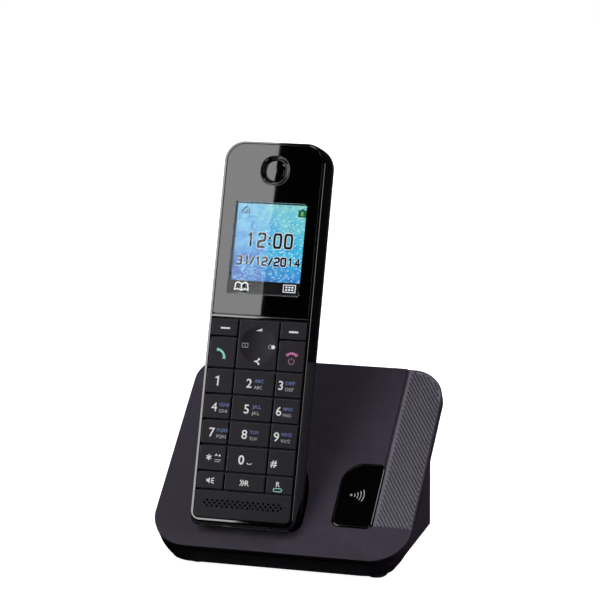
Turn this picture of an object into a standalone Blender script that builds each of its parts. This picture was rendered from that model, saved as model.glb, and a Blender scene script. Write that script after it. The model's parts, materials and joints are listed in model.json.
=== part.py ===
"""Cordless telephone handset standing in its charging base.

The handset lifts out of a pocket in the base's sloping plate. Sizes in this file are in
millimetres, and add_object turns them into metres. +Z is up, the front faces -Y and the
origin is under the middle of the whole object, on the surface that it stands on.
"""
import math

import bmesh
import bpy
from mathutils import Matrix, Vector

MM = 0.001                  # one millimetre in metres
GAP = 0.3                   # space between two pieces that touch on the real object

# Base: the plate slopes up from the front edge, and everything on it is placed along
# u (to the right), s (up the slope) and n (out of the plate).
BASE_MIDDLE_Y = -0.9        # the handset leans back past the base, so the base sits forward
PLATE_TILT = math.radians(38.81)
PLATE_HALF_WIDTH = 51.3
PLATE_LENGTH = 90.96
PLATE_FRONT_Z = 8.18
PLATE_FRONT_RADIUS = 15.0
PLATE_BACK_RADIUS = 12.0
COVER_THICKNESS = 1.4
FLANGE_TOP = -1.7           # n of the bottom case's flange, under the cover's edge
FLANGE_BOTTOM = -3.3
FLANGE_INSET = 0.35
HULL_TOP = -2.5             # n at which the hull ends inside the flange
REAR_Y = 35.7               # upright back of the base, from the base's middle
BODY_HALF_WIDTH = 44.4
BODY_FRONT_Y = -32.9
BODY_BOTTOM_Z = 1.5
BODY_CORNER_RADIUS = 12.0
CASE_WALL = 2.2
CASE_FLOOR_TOP_Z = 3.9
STRIP_LEFT = 35.9           # the textured strip is a step lower than the plate
STRIP_BOTTOM = 15.4
STRIP_STEP = 0.5
BUTTON_LEFT, BUTTON_RIGHT = 19.5, 35.4
BUTTON_BOTTOM, BUTTON_TOP = 14.4, 43.8
BUTTON_RADII = (3.2, 2.4, 2.4, 9.0)
BUTTON_PROUD = 0.15
BUTTON_THICKNESS = 2.55
FOOT_HEIGHT = 1.2
FOOT_PLACES = {
    "foot_front_left": (-32.5, -27.2),
    "foot_front_right": (38.5, -27.2),
    "foot_rear_left": (-36.0, 29.0),
    "foot_rear_right": (36.0, 29.0),
}
SCREW_PLACES = {"base_screw_left": (-34.0, 8.0), "base_screw_right": (34.0, 8.0)}

# Handset: x across the face, y up the face and z out of it, with z = 0 at the frame's front.
HANDSET_TILT = math.radians(69.56)
HANDSET_X, HANDSET_Y, HANDSET_Z = -14.11, -32.42, 15.73
HANDSET_BOTTOM, HANDSET_TOP = 1.1, 150.4
HANDSET_HALF_WIDTH = 20.9
FACE_INSET = 0.7            # how far the front frame lies inside the widest outline
END_INSET_SHARE = 0.6       # the ends round off less than the sides do
BOTTOM_RADIUS, TOP_RADIUS = 3.6, 8.0
PARTING_DEPTH = 9.5
HANDSET_DEPTH = 19.5
FRONT_CASE_SECTIONS = ((0.0, FACE_INSET), (1.2, 0.35), (5.0, 0.08), (PARTING_DEPTH, 0.0))
REAR_CASE_SECTIONS = ((9.8, 0.0), (13.0, 0.35), (16.0, 1.6), (18.2, 3.6), (HANDSET_DEPTH, 6.2))
CAVITY_HALF_WIDTH = 19.6
CAVITY_BOTTOM, CAVITY_TOP = 2.8, 149.95
LEDGE_TOP, LEDGE_BOTTOM = -1.9, -2.7
WINDOW_BOTTOM, WINDOW_TOP = 82.4, 149.7
WINDOW_HALF_WIDTH = 19.3
WINDOW_TOP_RADIUS = 7.1
EARPIECE_X, EARPIECE_Y = 0.4, 139.4
EARPIECE_HALF = 5.55
LCD_HALF_WIDTH = 14.6
LCD_BOTTOM, LCD_TOP = 90.3, 126.8

# Keypad: three columns with narrow gaps, rows given by the middle of the gap under each.
KEYPAD_HALF_WIDTH = 19.3
COLUMN_GAP_X = 8.35
KEY_GAP = 0.55
KEY_TOP, KEY_BOTTOM = -0.15, -1.9
KEY_RADIUS = 0.6
COLUMN_EDGES = (-KEYPAD_HALF_WIDTH - KEY_GAP / 2, -COLUMN_GAP_X, COLUMN_GAP_X,
                KEYPAD_HALF_WIDTH + KEY_GAP / 2)
GRILLE_BOTTOM = 3.1
SPEAKER_ROW = 13.9
STAR_ROW = 21.0
SEVEN_ROW = 31.3
FOUR_ROW = 41.05
ONE_ROW = 51.0
TALK_ROW = 61.0
SOFT_ROW = 73.4
KEYPAD_TOP = 80.7
KEY_ROWS = (
    (SPEAKER_ROW, STAR_ROW, ("key_speaker", "key_redial", "key_recall")),
    (STAR_ROW, SEVEN_ROW, ("key_star", "key_0", "key_hash")),
    (SEVEN_ROW, FOUR_ROW, ("key_7", "key_8", "key_9")),
    (FOUR_ROW, ONE_ROW, ("key_4", "key_5", "key_6")),
    (ONE_ROW, TALK_ROW, ("key_1", "key_2", "key_3")),
    (TALK_ROW, SOFT_ROW, ("key_talk", None, "key_end")),
    (SOFT_ROW, KEYPAD_TOP, ("key_soft_left", None, "key_soft_right")),
)
NAV_PIVOT_Z = -2.3
NAV_DISH_RADIUS = 7.2
NAV_DISH_DEPTH = 0.75

# Cradle pocket: its floor is square to the handset, its back wall lies along the handset.
POCKET_HALF_WIDTH = 22.4
POCKET_FLOOR = 0.3
POCKET_BACK = HANDSET_DEPTH + 0.45
POCKET_WALL = 1.6
CONTACT_X = 9.0
CONTACT_DEPTH = 12.6

# Battery compartment, open at the back of the handset.
BATTERY_RADIUS = 5.05
BATTERY_X = 5.3
BATTERY_Z = -12.95
BATTERY_BOTTOM, BATTERY_LENGTH = 37.6, 44.5
TRAY_HALF_WIDTH, TRAY_WALL = 10.9, 1.2
TRAY_BOTTOM, TRAY_TOP = 35.0, 85.0
TRAY_FLOOR_TOP, TRAY_FLOOR_BOTTOM = -7.0, -7.65
DOOR_HALF_WIDTH = 12.6
DOOR_BOTTOM, DOOR_TOP = 33.0, 88.5
DOOR_INNER = -18.3
RINGER_Y = 112.0

FINISHES = {                # base colour, roughness, metallic
    "plate": ((0.045, 0.042, 0.055), 0.55, 0.0),
    "case": ((0.016, 0.015, 0.019), 0.40, 0.0),
    "rubber": ((0.012, 0.012, 0.013), 0.80, 0.0),
    "steel": ((0.62, 0.62, 0.64), 0.35, 1.0),
    "nickel": ((0.72, 0.69, 0.62), 0.25, 1.0),
    "board": ((0.02, 0.13, 0.05), 0.50, 0.0),
    "jack": ((0.02, 0.02, 0.022), 0.45, 0.0),
    "gloss": ((0.006, 0.006, 0.007), 0.08, 0.0),
    "key": ((0.024, 0.023, 0.028), 0.42, 0.0),
    "membrane": ((0.010, 0.010, 0.011), 0.70, 0.0),
    "lcd": ((0.10, 0.35, 0.60), 0.20, 0.0),
    "battery": ((0.85, 0.86, 0.87), 0.35, 0.2),
}


# ---------------------------------------------------------------- scene and materials

def clear_scene():
    for obj in list(bpy.data.objects):
        bpy.data.objects.remove(obj, do_unlink=True)


def new_collection(name):
    collection = bpy.data.collections.new(name)
    bpy.context.scene.collection.children.link(collection)
    return collection


clear_scene()
PARTS = new_collection("cordless_phone")
CUTTERS = new_collection("cutters")


def principled(name, finish):
    colour, roughness, metallic = FINISHES[finish]
    material = bpy.data.materials.new(name + "_finish")
    material.use_nodes = True
    shader = material.node_tree.nodes["Principled BSDF"]
    shader.inputs["Base Color"].default_value = (*colour, 1.0)
    shader.inputs["Roughness"].default_value = roughness
    shader.inputs["Metallic"].default_value = metallic
    return material


def add_empty(name, location, tilt):
    empty = bpy.data.objects.new(name, None)
    empty.location = Vector(location) * MM
    empty.rotation_euler = (tilt, 0.0, 0.0)
    PARTS.objects.link(empty)
    return empty


def add_object(name, mesh, parent, finish, location=(0, 0, 0), rotation=(0, 0, 0)):
    """Place a mesh made in millimetres. Without a finish it is a cutter or a helper shape."""
    mesh.transform(Matrix.Scale(MM, 4))
    obj = bpy.data.objects.new(name, mesh)
    obj.parent = parent
    obj.location = Vector(location) * MM
    obj.rotation_euler = rotation
    if finish is None:
        CUTTERS.objects.link(obj)
        obj.hide_render = True
        obj.display_type = "WIRE"
    else:
        PARTS.objects.link(obj)
        mesh.materials.append(principled(name, finish))
    return obj


# ---------------------------------------------------------------- shapes

def arc(centre_x, centre_y, radius_x, radius_y, start, end, steps):
    """Points on an ellipse's arc, with start and end in degrees."""
    points = []
    for i in range(steps + 1):
        angle = math.radians(start + (end - start) * i / steps)
        points.append((centre_x + radius_x * math.cos(angle), centre_y + radius_y * math.sin(angle)))
    return points


def rounded(left, right, bottom, top, radii, steps=5):
    """Rectangle with its own radius at lower left, lower right, upper right and upper left."""
    r0, r1, r2, r3 = radii
    return (arc(left + r0, bottom + r0, r0, r0, 180, 270, steps)
            + arc(right - r1, bottom + r1, r1, r1, 270, 360, steps)
            + arc(right - r2, top - r2, r2, r2, 0, 90, steps)
            + arc(left + r3, top - r3, r3, r3, 90, 180, steps))


def weld(mesh):
    """Join a converted curve's caps to its sides, and make each flat cap one face."""
    bm = bmesh.new()
    bm.from_mesh(mesh)
    bmesh.ops.remove_doubles(bm, verts=bm.verts, dist=0.001)
    bmesh.ops.dissolve_limit(bm, angle_limit=0.0005, verts=bm.verts, edges=bm.edges)
    bmesh.ops.recalc_face_normals(bm, faces=bm.faces)
    bm.to_mesh(mesh)
    bm.free()


def prism(name, outline, low, high, parent, finish=None, location=(0, 0, 0), rotation=(0, 0, 0)):
    """Solid with a flat outline, from low to high along its own Z."""
    curve = bpy.data.curves.new(name, "CURVE")
    curve.dimensions = "2D"
    curve.fill_mode = "BOTH"
    curve.extrude = (high - low) / 2
    spline = curve.splines.new("POLY")
    spline.points.add(len(outline) - 1)
    for point, (x, y) in zip(spline.points, outline):
        point.co = (x, y, 0.0, 1.0)
    spline.use_cyclic_u = True
    guide = bpy.data.objects.new(name + "_outline", curve)
    CUTTERS.objects.link(guide)
    graph = bpy.context.evaluated_depsgraph_get()
    mesh = bpy.data.meshes.new_from_object(guide.evaluated_get(graph))
    bpy.data.objects.remove(guide)
    mesh.transform(Matrix.Translation((0, 0, (low + high) / 2)))
    weld(mesh)
    return add_object(name, mesh, parent, finish, location, rotation)


def box(name, low, high, parent, finish=None):
    """Box between two corners."""
    low, high = Vector(low), Vector(high)
    size = high - low
    bm = bmesh.new()
    bmesh.ops.create_cube(bm, size=1.0)
    bmesh.ops.scale(bm, vec=size, verts=bm.verts)
    mesh = bpy.data.meshes.new(name)
    bm.to_mesh(mesh)
    bm.free()
    centre = (low + high) / 2
    return add_object(name, mesh, parent, finish, centre)


def cylinder(name, radius, low, high, parent, location, finish=None, rotation=(0, 0, 0), sides=24):
    """Cylinder along its own Z, from low to high, about a point in its parent's frame."""
    bm = bmesh.new()
    bmesh.ops.create_cone(bm, cap_ends=True, segments=sides, radius1=radius, radius2=radius,
                          depth=high - low)
    bmesh.ops.translate(bm, vec=(0, 0, (low + high) / 2), verts=bm.verts)
    mesh = bpy.data.meshes.new(name)
    bm.to_mesh(mesh)
    bm.free()
    return add_object(name, mesh, parent, finish, location, rotation)


def turned(name, profile, parent, finish, location, rotation=(0, 0, 0), steps=20):
    """Profile of (radius, height) points, from the top of the axis to its bottom, turned."""
    mesh = bpy.data.meshes.new(name)
    edges = [(i, i + 1) for i in range(len(profile) - 1)]
    mesh.from_pydata([(radius, 0.0, height) for radius, height in profile], edges, [])
    obj = add_object(name, mesh, parent, finish, location, rotation)
    screw = obj.modifiers.new("turn", "SCREW")
    screw.steps = steps
    screw.render_steps = steps
    screw.use_merge_vertices = True
    screw.merge_threshold = 0.00001
    return obj


def loft(name, rings, parent, finish=None):
    """Closed solid through rings with equal numbers of points, first ring to last."""
    bm = bmesh.new()
    loops = [[bm.verts.new(point) for point in ring] for ring in rings]
    count = len(rings[0])
    for lower, upper in zip(loops, loops[1:]):
        for i in range(count):
            j = (i + 1) % count
            bm.faces.new((lower[i], lower[j], upper[j], upper[i]))
    bm.faces.new(reversed(loops[0]))
    bm.faces.new(loops[-1])
    bmesh.ops.recalc_face_normals(bm, faces=bm.faces)
    mesh = bpy.data.meshes.new(name)
    bm.to_mesh(mesh)
    bm.free()
    return add_object(name, mesh, parent, finish)


def combine(target, other, operation):
    """Add a union or difference with a helper shape."""
    modifier = target.modifiers.new(other.name, "BOOLEAN")
    modifier.operation = operation
    modifier.object = other
    modifier.solver = "EXACT"


def cut(target, *cutters):
    for cutter in cutters:
        combine(target, cutter, "DIFFERENCE")


def join(target, *additions):
    for addition in additions:
        combine(target, addition, "UNION")


# ---------------------------------------------------------------- frames

BASE_FRAME = add_empty("base_frame", (0.0, BASE_MIDDLE_Y, 0.0), 0.0)
PLATE_FRONT_Y = -PLATE_LENGTH * math.cos(PLATE_TILT) / 2
PLATE_FRAME = add_empty("plate_frame", (0.0, PLATE_FRONT_Y + BASE_MIDDLE_Y, PLATE_FRONT_Z), PLATE_TILT)
HANDSET_FRAME = add_empty("handset_frame", (HANDSET_X, HANDSET_Y + BASE_MIDDLE_Y, HANDSET_Z), HANDSET_TILT)


def plate_z(y, n):
    """Height of the plane n above the plate, at a distance y behind the base's middle."""
    return PLATE_FRONT_Z + (n + math.sin(PLATE_TILT) * (y - PLATE_FRONT_Y)) / math.cos(PLATE_TILT)


def handset_to_plate(up, depth):
    """Plate coordinates (s, n) of a point given up the handset and behind its face."""
    y = HANDSET_Y + up * math.cos(HANDSET_TILT) + depth * math.sin(HANDSET_TILT) - PLATE_FRONT_Y
    z = HANDSET_Z + up * math.sin(HANDSET_TILT) - depth * math.cos(HANDSET_TILT) - PLATE_FRONT_Z
    s = y * math.cos(PLATE_TILT) + z * math.sin(PLATE_TILT)
    n = z * math.cos(PLATE_TILT) - y * math.sin(PLATE_TILT)
    return s, n


def where_plane_meets(start, end, n):
    """Point (s, n) on the line through two plate points, at the height n."""
    share = (n - start[1]) / (end[1] - start[1])
    return start[0] + share * (end[0] - start[0]), n


# ---------------------------------------------------------------- base

def plate_outline(inset=0.0, steps=6):
    front = PLATE_FRONT_RADIUS - inset
    back = PLATE_BACK_RADIUS - inset
    half = PLATE_HALF_WIDTH - inset
    return rounded(-half, half, inset, PLATE_LENGTH - inset, (front, front, back, back), steps)


def button_outline(grow=0.0, steps=5):
    radii = [radius + grow for radius in BUTTON_RADII]
    return rounded(BUTTON_LEFT - grow, BUTTON_RIGHT + grow, BUTTON_BOTTOM - grow,
                   BUTTON_TOP + grow, radii, steps)


def rear_trim():
    """Block behind the upright back of the base."""
    return box("rear_trim", (-60, REAR_Y, -5), (60, REAR_Y + 20, 90), BASE_FRAME)


def pocket_shell():
    """Solid wedge under the plate that the cradle pocket is cut into."""
    floor = POCKET_FLOOR - POCKET_WALL
    back = POCKET_BACK + POCKET_WALL
    corner = handset_to_plate(floor, back)
    middle_of_cover = -COVER_THICKNESS / 2
    front_end = where_plane_meets(corner, handset_to_plate(floor, 0.0), middle_of_cover)
    back_end = where_plane_meets(corner, handset_to_plate(60.0, back), middle_of_cover)
    half = POCKET_HALF_WIDTH + POCKET_WALL
    return prism("pocket_shell", [front_end, corner, back_end], HANDSET_X - half, HANDSET_X + half,
                 PLATE_FRAME, rotation=(math.pi / 2, 0.0, math.pi / 2))


def screw_boss(name, x, y):
    """Upright boss under the cover, ending inside the cover's thickness."""
    boss = cylinder(name + "_boss", 3.4, 9.5, 60.0, BASE_FRAME, (x, y, 0.0), sides=20)
    above = box(name + "_above", (-70, -10, -COVER_THICKNESS / 2), (70, 100, 60), PLATE_FRAME)
    cut(boss, above)
    return boss


def base_top_cover(trim):
    cover = prism("base_top_cover", plate_outline(), -COVER_THICKNESS, 0.0, PLATE_FRAME, "plate")
    join(cover, pocket_shell())
    for name, (x, y) in SCREW_PLACES.items():
        join(cover, screw_boss(name, x, y))
        cut(cover, cylinder(name + "_thread", 1.6, 5.0, 13.8, BASE_FRAME, (x, y, 0.0), sides=16))
    cut(cover, box("cradle_pocket", (-POCKET_HALF_WIDTH, POCKET_FLOOR, -POCKET_BACK),
                   (POCKET_HALF_WIDTH, 60.0, 10.0), HANDSET_FRAME))
    for side in (-1, 1):
        cut(cover, box("contact_slot", (side * CONTACT_X - 1.8, -3.0, -CONTACT_DEPTH - 1.3),
                       (side * CONTACT_X + 1.8, 1.0, -CONTACT_DEPTH + 1.3), HANDSET_FRAME))
    cut(cover,
        prism("button_cut_out", button_outline(0.35), -4.0, 2.0, PLATE_FRAME),
        box("strip_recess", (STRIP_LEFT, STRIP_BOTTOM, -STRIP_STEP), (60.0, 100.0, 2.0), PLATE_FRAME),
        trim)


def hull_ring(is_top):
    """Half outline of the base's body, front to back, as (x, y, z) points."""
    side_y = (-19.0, -16.0, -13.0, -8.0, 0.0, REAR_Y + 2.0)
    if is_top:
        corner_x, reach_x = PLATE_HALF_WIDTH - PLATE_FRONT_RADIUS, PLATE_FRONT_RADIUS - 0.8
        corner_y, reach_y = -22.2, 11.1
        flare_end = -8.0
        side = []
        for y in side_y:
            share = min(max((y - corner_y) / (flare_end - corner_y), 0.0), 1.0)
            flare = (corner_x + reach_x - BODY_HALF_WIDTH) * (1 + math.cos(math.pi * share)) / 2
            side.append((BODY_HALF_WIDTH + flare, y))
    else:
        corner_x = BODY_HALF_WIDTH - BODY_CORNER_RADIUS
        corner_y = BODY_FRONT_Y + BODY_CORNER_RADIUS
        reach_x = reach_y = BODY_CORNER_RADIUS
        side = [(BODY_HALF_WIDTH, y) for y in side_y]
    plan = arc(corner_x, corner_y, reach_x, reach_y, -90, 0, 7) + side
    return [(x, y, plate_z(y, HULL_TOP) if is_top else BODY_BOTTOM_Z) for x, y in plan]


def mirrored(half):
    return half + [(-x, y, z) for x, y, z in reversed(half)]


def base_bottom_case(trim):
    case = loft("base_bottom_case", [mirrored(hull_ring(False)), mirrored(hull_ring(True))],
                BASE_FRAME, "case")
    join(case, prism("case_flange", plate_outline(FLANGE_INSET), FLANGE_BOTTOM, FLANGE_TOP, PLATE_FRAME))
    half = BODY_HALF_WIDTH - CASE_WALL
    inside = rounded(-half, half, BODY_FRONT_Y + CASE_WALL, REAR_Y - CASE_WALL, (10.0, 10.0, 2.0, 2.0))
    cut(case, prism("case_inside", inside, CASE_FLOOR_TOP_Z, 90.0, BASE_FRAME), trim)
    for name, (x, y) in SCREW_PLACES.items():
        cut(case,
            cylinder(name + "_well", 2.9, 0.0, 3.1, BASE_FRAME, (x, y, 0.0), sides=16),
            cylinder(name + "_hole", 1.7, 0.5, 6.0, BASE_FRAME, (x, y, 0.0), sides=16))
    cut(case,
        box("line_jack_window", LINE_JACK_LOW - Vector((GAP, 2.0, GAP)),
            LINE_JACK_HIGH + Vector((GAP, 6.0, GAP)), BASE_FRAME),
        box("dc_jack_window", DC_JACK_LOW - Vector((GAP, 2.0, GAP)),
            DC_JACK_HIGH + Vector((GAP, 6.0, GAP)), BASE_FRAME))


# The jacks stand on the base's circuit board, with their mouths in the upright back.
BOARD_TOP_Z = 7.2
LINE_JACK_LOW = Vector((6.0, REAR_Y - 14.5, BOARD_TOP_Z + GAP))
LINE_JACK_HIGH = Vector((19.4, REAR_Y - 0.4, BOARD_TOP_Z + GAP + 11.6))
DC_JACK_LOW = Vector((-21.0, REAR_Y - 13.5, BOARD_TOP_Z + GAP))
DC_JACK_HIGH = Vector((-12.0, REAR_Y - 0.4, BOARD_TOP_Z + GAP + 10.6))
LINE_SOCKET_HALF_WIDTH = 4.9
LINE_SOCKET_HALF_HEIGHT = 3.4
LINE_SOCKET_DEPTH = 11.5


def line_jack():
    jack = box("line_jack", LINE_JACK_LOW, LINE_JACK_HIGH, BASE_FRAME, "jack")
    centre = (LINE_JACK_LOW + LINE_JACK_HIGH) / 2
    half = Vector((LINE_SOCKET_HALF_WIDTH, 0.0, LINE_SOCKET_HALF_HEIGHT))
    low = centre - half
    high = centre + half
    low.y = LINE_JACK_HIGH.y - LINE_SOCKET_DEPTH
    high.y = LINE_JACK_HIGH.y + 2.0
    cut(jack, box("line_socket", low, high, BASE_FRAME))
    latch_low = Vector((centre.x - 1.7, low.y, centre.z - LINE_SOCKET_HALF_HEIGHT - 1.3))
    latch_high = Vector((centre.x + 1.7, high.y, centre.z - 1.0))
    cut(jack, box("line_socket_latch_way", latch_low, latch_high, BASE_FRAME))


def dc_jack():
    """Barrel socket: a round hole with a pin standing in the middle of it."""
    jack = box("dc_jack", DC_JACK_LOW, DC_JACK_HIGH, BASE_FRAME, "jack")
    centre = (DC_JACK_LOW + DC_JACK_HIGH) / 2
    mouth = (centre.x, DC_JACK_HIGH.y, centre.z)
    along_y = (math.pi / 2, 0.0, 0.0)
    cut(jack, cylinder("dc_socket", 3.1, -2.0, 9.5, BASE_FRAME, mouth, rotation=along_y))
    join(jack, cylinder("dc_pin", 0.9, 1.0, 10.5, BASE_FRAME, mouth, rotation=along_y, sides=12))


def base_electronics():
    box("base_circuit_board", (-28.0, -4.0, BOARD_TOP_Z - 1.6), (28.0, 33.0, BOARD_TOP_Z), BASE_FRAME, "board")
    line_jack()
    dc_jack()
    middle_u = (BUTTON_LEFT + BUTTON_RIGHT) / 2
    middle_s = (BUTTON_BOTTOM + BUTTON_TOP) / 2
    box("locator_switch", (middle_u - 3.0, middle_s - 3.0, -7.0), (middle_u + 3.0, middle_s + 3.0, -3.7),
        PLATE_FRAME, "steel")
    box("locator_board", (middle_u - 7.0, middle_s - 13.0, -8.5), (middle_u + 7.0, middle_s + 13.0, -7.3),
        PLATE_FRAME, "board")
    for side, word in ((-1, "left"), (1, "right")):
        box("base_charge_contact_" + word,
            (side * CONTACT_X - 1.5, -2.6, -CONTACT_DEPTH - 1.0),
            (side * CONTACT_X + 1.5, 0.95, -CONTACT_DEPTH + 1.0), HANDSET_FRAME, "nickel")


def locator_button():
    centre_u = (BUTTON_LEFT + BUTTON_RIGHT) / 2
    centre_s = (BUTTON_BOTTOM + BUTTON_TOP) / 2
    outline = [(u - centre_u, s - centre_s) for u, s in button_outline()]
    prism("locator_button", outline, BUTTON_PROUD - BUTTON_THICKNESS, BUTTON_PROUD, PLATE_FRAME, "gloss",
          location=(centre_u, centre_s, 0.0))


def feet_and_screws():
    for name, (x, y) in FOOT_PLACES.items():
        profile = [(0.0, FOOT_HEIGHT), (4.4, FOOT_HEIGHT), (4.0, 0.45), (3.3, 0.0), (0.0, 0.0)]
        turned(name, profile, BASE_FRAME, "rubber", (x, y, 0.0))
    for name, (x, y) in SCREW_PLACES.items():
        profile = [(0.0, 13.0), (1.2, 12.2), (1.2, 2.9), (2.5, 2.9), (2.5, 1.9), (0.0, 1.9)]
        turned(name, profile, BASE_FRAME, "steel", (x, y, 0.0), steps=16)


# ---------------------------------------------------------------- handset

def handset_ring(depth, inset, shrink=0.0):
    """Outline of the handset at a depth behind its face, as (x, y, z) points."""
    end = END_INSET_SHARE * (inset - FACE_INSET) + shrink
    half = HANDSET_HALF_WIDTH - inset - shrink
    radii = (BOTTOM_RADIUS, BOTTOM_RADIUS, TOP_RADIUS, TOP_RADIUS)
    outline = rounded(-half, half, HANDSET_BOTTOM + end, HANDSET_TOP - end, radii)
    return [(x, y, -depth) for x, y in outline]


def handset_front_case():
    case = loft("handset_front_case", [handset_ring(*section) for section in FRONT_CASE_SECTIONS],
                HANDSET_FRAME, "gloss")
    cavity = rounded(-CAVITY_HALF_WIDTH, CAVITY_HALF_WIDTH, CAVITY_BOTTOM, CAVITY_TOP, (2.4, 2.4, 7.4, 7.4))
    cut(case, prism("front_cavity", cavity, -12.0, 2.0, HANDSET_FRAME))
    ledge = rounded(-20.0, 20.0, KEYPAD_TOP + 0.3, 150.15, (0.5, 0.5, 7.6, 7.6))
    bar = rounded(-19.9, 19.9, KEYPAD_TOP + 0.3, WINDOW_BOTTOM - GAP, (0.2, 0.2, 0.2, 0.2), 1)
    join(case,
         prism("window_ledge", ledge, LEDGE_BOTTOM, LEDGE_TOP, HANDSET_FRAME),
         prism("face_bar", bar, LEDGE_BOTTOM + 0.2, -0.05, HANDSET_FRAME))
    cut(case,
        box("lcd_opening", (-LCD_HALF_WIDTH, LCD_BOTTOM, -5.0), (LCD_HALF_WIDTH, LCD_TOP, 1.0), HANDSET_FRAME),
        box("receiver_opening", (EARPIECE_X - 2.5, EARPIECE_Y - 4.2, -5.0),
            (EARPIECE_X + 2.5, EARPIECE_Y + 4.2, 1.0), HANDSET_FRAME))


def contact_recess(side):
    return box("contact_recess", (side * CONTACT_X - 3.1, -1.0, -CONTACT_DEPTH - 2.0),
               (side * CONTACT_X + 3.1, 2.2, -CONTACT_DEPTH + 2.0), HANDSET_FRAME)


def handset_rear_case():
    case = loft("handset_rear_case", [handset_ring(*section) for section in REAR_CASE_SECTIONS],
                HANDSET_FRAME, "gloss")
    sections = ((8.0, 0.0), (13.0, 0.3), (15.6, 1.6), (17.6, 4.0))
    cavity = [handset_ring(depth, inset, 1.5) for depth, inset in sections]
    cut(case, loft("rear_cavity", cavity, HANDSET_FRAME))
    tray = (TRAY_HALF_WIDTH + TRAY_WALL, TRAY_BOTTOM - TRAY_WALL, TRAY_TOP + TRAY_WALL)
    join(case, box("tray_block", (-tray[0], tray[1], -18.6), (tray[0], tray[2], TRAY_FLOOR_TOP), HANDSET_FRAME))
    cut(case,
        box("tray_inside", (-TRAY_HALF_WIDTH, TRAY_BOTTOM, -22.0),
            (TRAY_HALF_WIDTH, TRAY_TOP, TRAY_FLOOR_BOTTOM), HANDSET_FRAME),
        prism("door_opening", door_outline(GAP), -22.0, DOOR_INNER + GAP, HANDSET_FRAME),
        ringer_slots(), contact_recess(-1), contact_recess(1))


def ringer_slots():
    """Five slots over the loudspeaker, as one cutter."""
    bm = bmesh.new()
    for i in range(5):
        place = Matrix.Translation((0.0, (i - 2) * 2.4, 0.0)) @ Matrix.Diagonal((11.0, 1.2, 5.0, 1.0))
        bmesh.ops.create_cube(bm, size=1.0, matrix=place)
    mesh = bpy.data.meshes.new("ringer_slots")
    bm.to_mesh(mesh)
    bm.free()
    return add_object("ringer_slots", mesh, HANDSET_FRAME, None, (0.0, RINGER_Y, -18.8))


def door_outline(grow=0.0):
    radius = 2.5 + grow
    return rounded(-DOOR_HALF_WIDTH - grow, DOOR_HALF_WIDTH + grow, DOOR_BOTTOM - grow, DOOR_TOP + grow,
                   (radius, radius, radius, radius))


def battery_door():
    middle = (DOOR_BOTTOM + DOOR_TOP) / 2
    outline = [(x, y - middle) for x, y in door_outline()]
    prism("battery_door", outline, -HANDSET_DEPTH, DOOR_INNER, HANDSET_FRAME, "gloss",
          location=(0.0, middle, 0.0))


def display():
    window = prism("display_window",
                   rounded(-WINDOW_HALF_WIDTH, WINDOW_HALF_WIDTH, WINDOW_BOTTOM, WINDOW_TOP,
                           (0.6, 0.6, WINDOW_TOP_RADIUS, WINDOW_TOP_RADIUS)),
                   -1.6, -0.05, HANDSET_FRAME, "gloss")
    hole = rounded(-EARPIECE_HALF, EARPIECE_HALF, -EARPIECE_HALF, EARPIECE_HALF, (5.0, 5.0, 5.0, 5.0))
    cut(window, prism("earpiece_hole", hole, -3.0, 1.0, HANDSET_FRAME, location=(EARPIECE_X, EARPIECE_Y, 0.0)))
    half = EARPIECE_HALF - GAP
    insert = rounded(-half, half, -half, half, (4.7, 4.7, 4.7, 4.7))
    grille = prism("earpiece_grille", insert, -1.6, -0.9, HANDSET_FRAME, "gloss",
                   location=(EARPIECE_X, EARPIECE_Y, 0.0))
    slot = rounded(-2.0, 2.0, -3.6, 3.6, (1.9, 1.9, 1.9, 1.9), 3)
    cut(grille, prism("earpiece_slot", slot, -3.0, 1.0, HANDSET_FRAME, location=(EARPIECE_X, EARPIECE_Y, 0.0)))
    box("display_module", (-17.35, 85.8, -5.3), (17.35, 131.3, -3.0), HANDSET_FRAME, "lcd")


def handset_electronics():
    box("handset_circuit_board", (-18.6, 6.0, -6.6), (18.6, 144.0, -5.6), HANDSET_FRAME, "board")
    box("key_dome_sheet", (-18.4, 15.0, -5.1), (18.4, 80.0, -4.6), HANDSET_FRAME, "steel")
    box("keypad_membrane", (-18.9, 14.5, -4.2), (18.9, 80.4, -2.9), HANDSET_FRAME, "membrane")
    disc = [(0.0, -3.0), (6.0, -3.0), (6.5, -3.4), (6.5, -5.3), (0.0, -5.3)]
    turned("receiver_speaker", disc, HANDSET_FRAME, "steel", (EARPIECE_X, EARPIECE_Y, 0.0))
    turned("microphone", [(0.0, -2.2), (3.0, -2.2), (3.0, -4.4), (0.0, -4.4)], HANDSET_FRAME, "steel",
           (0.0, 8.5, 0.0))
    cone = [(0.0, -13.4), (6.0, -13.4), (9.5, -14.6), (9.5, -17.2), (0.0, -17.2)]
    turned("ringer_loudspeaker", cone, HANDSET_FRAME, "steel", (0.0, RINGER_Y, 0.0))
    for side, word in ((-1, "left"), (1, "right")):
        box("handset_charge_contact_" + word,
            (side * CONTACT_X - 2.6, 1.3, -CONTACT_DEPTH - 1.6),
            (side * CONTACT_X + 2.6, 1.9, -CONTACT_DEPTH + 1.6), HANDSET_FRAME, "nickel")


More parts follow.
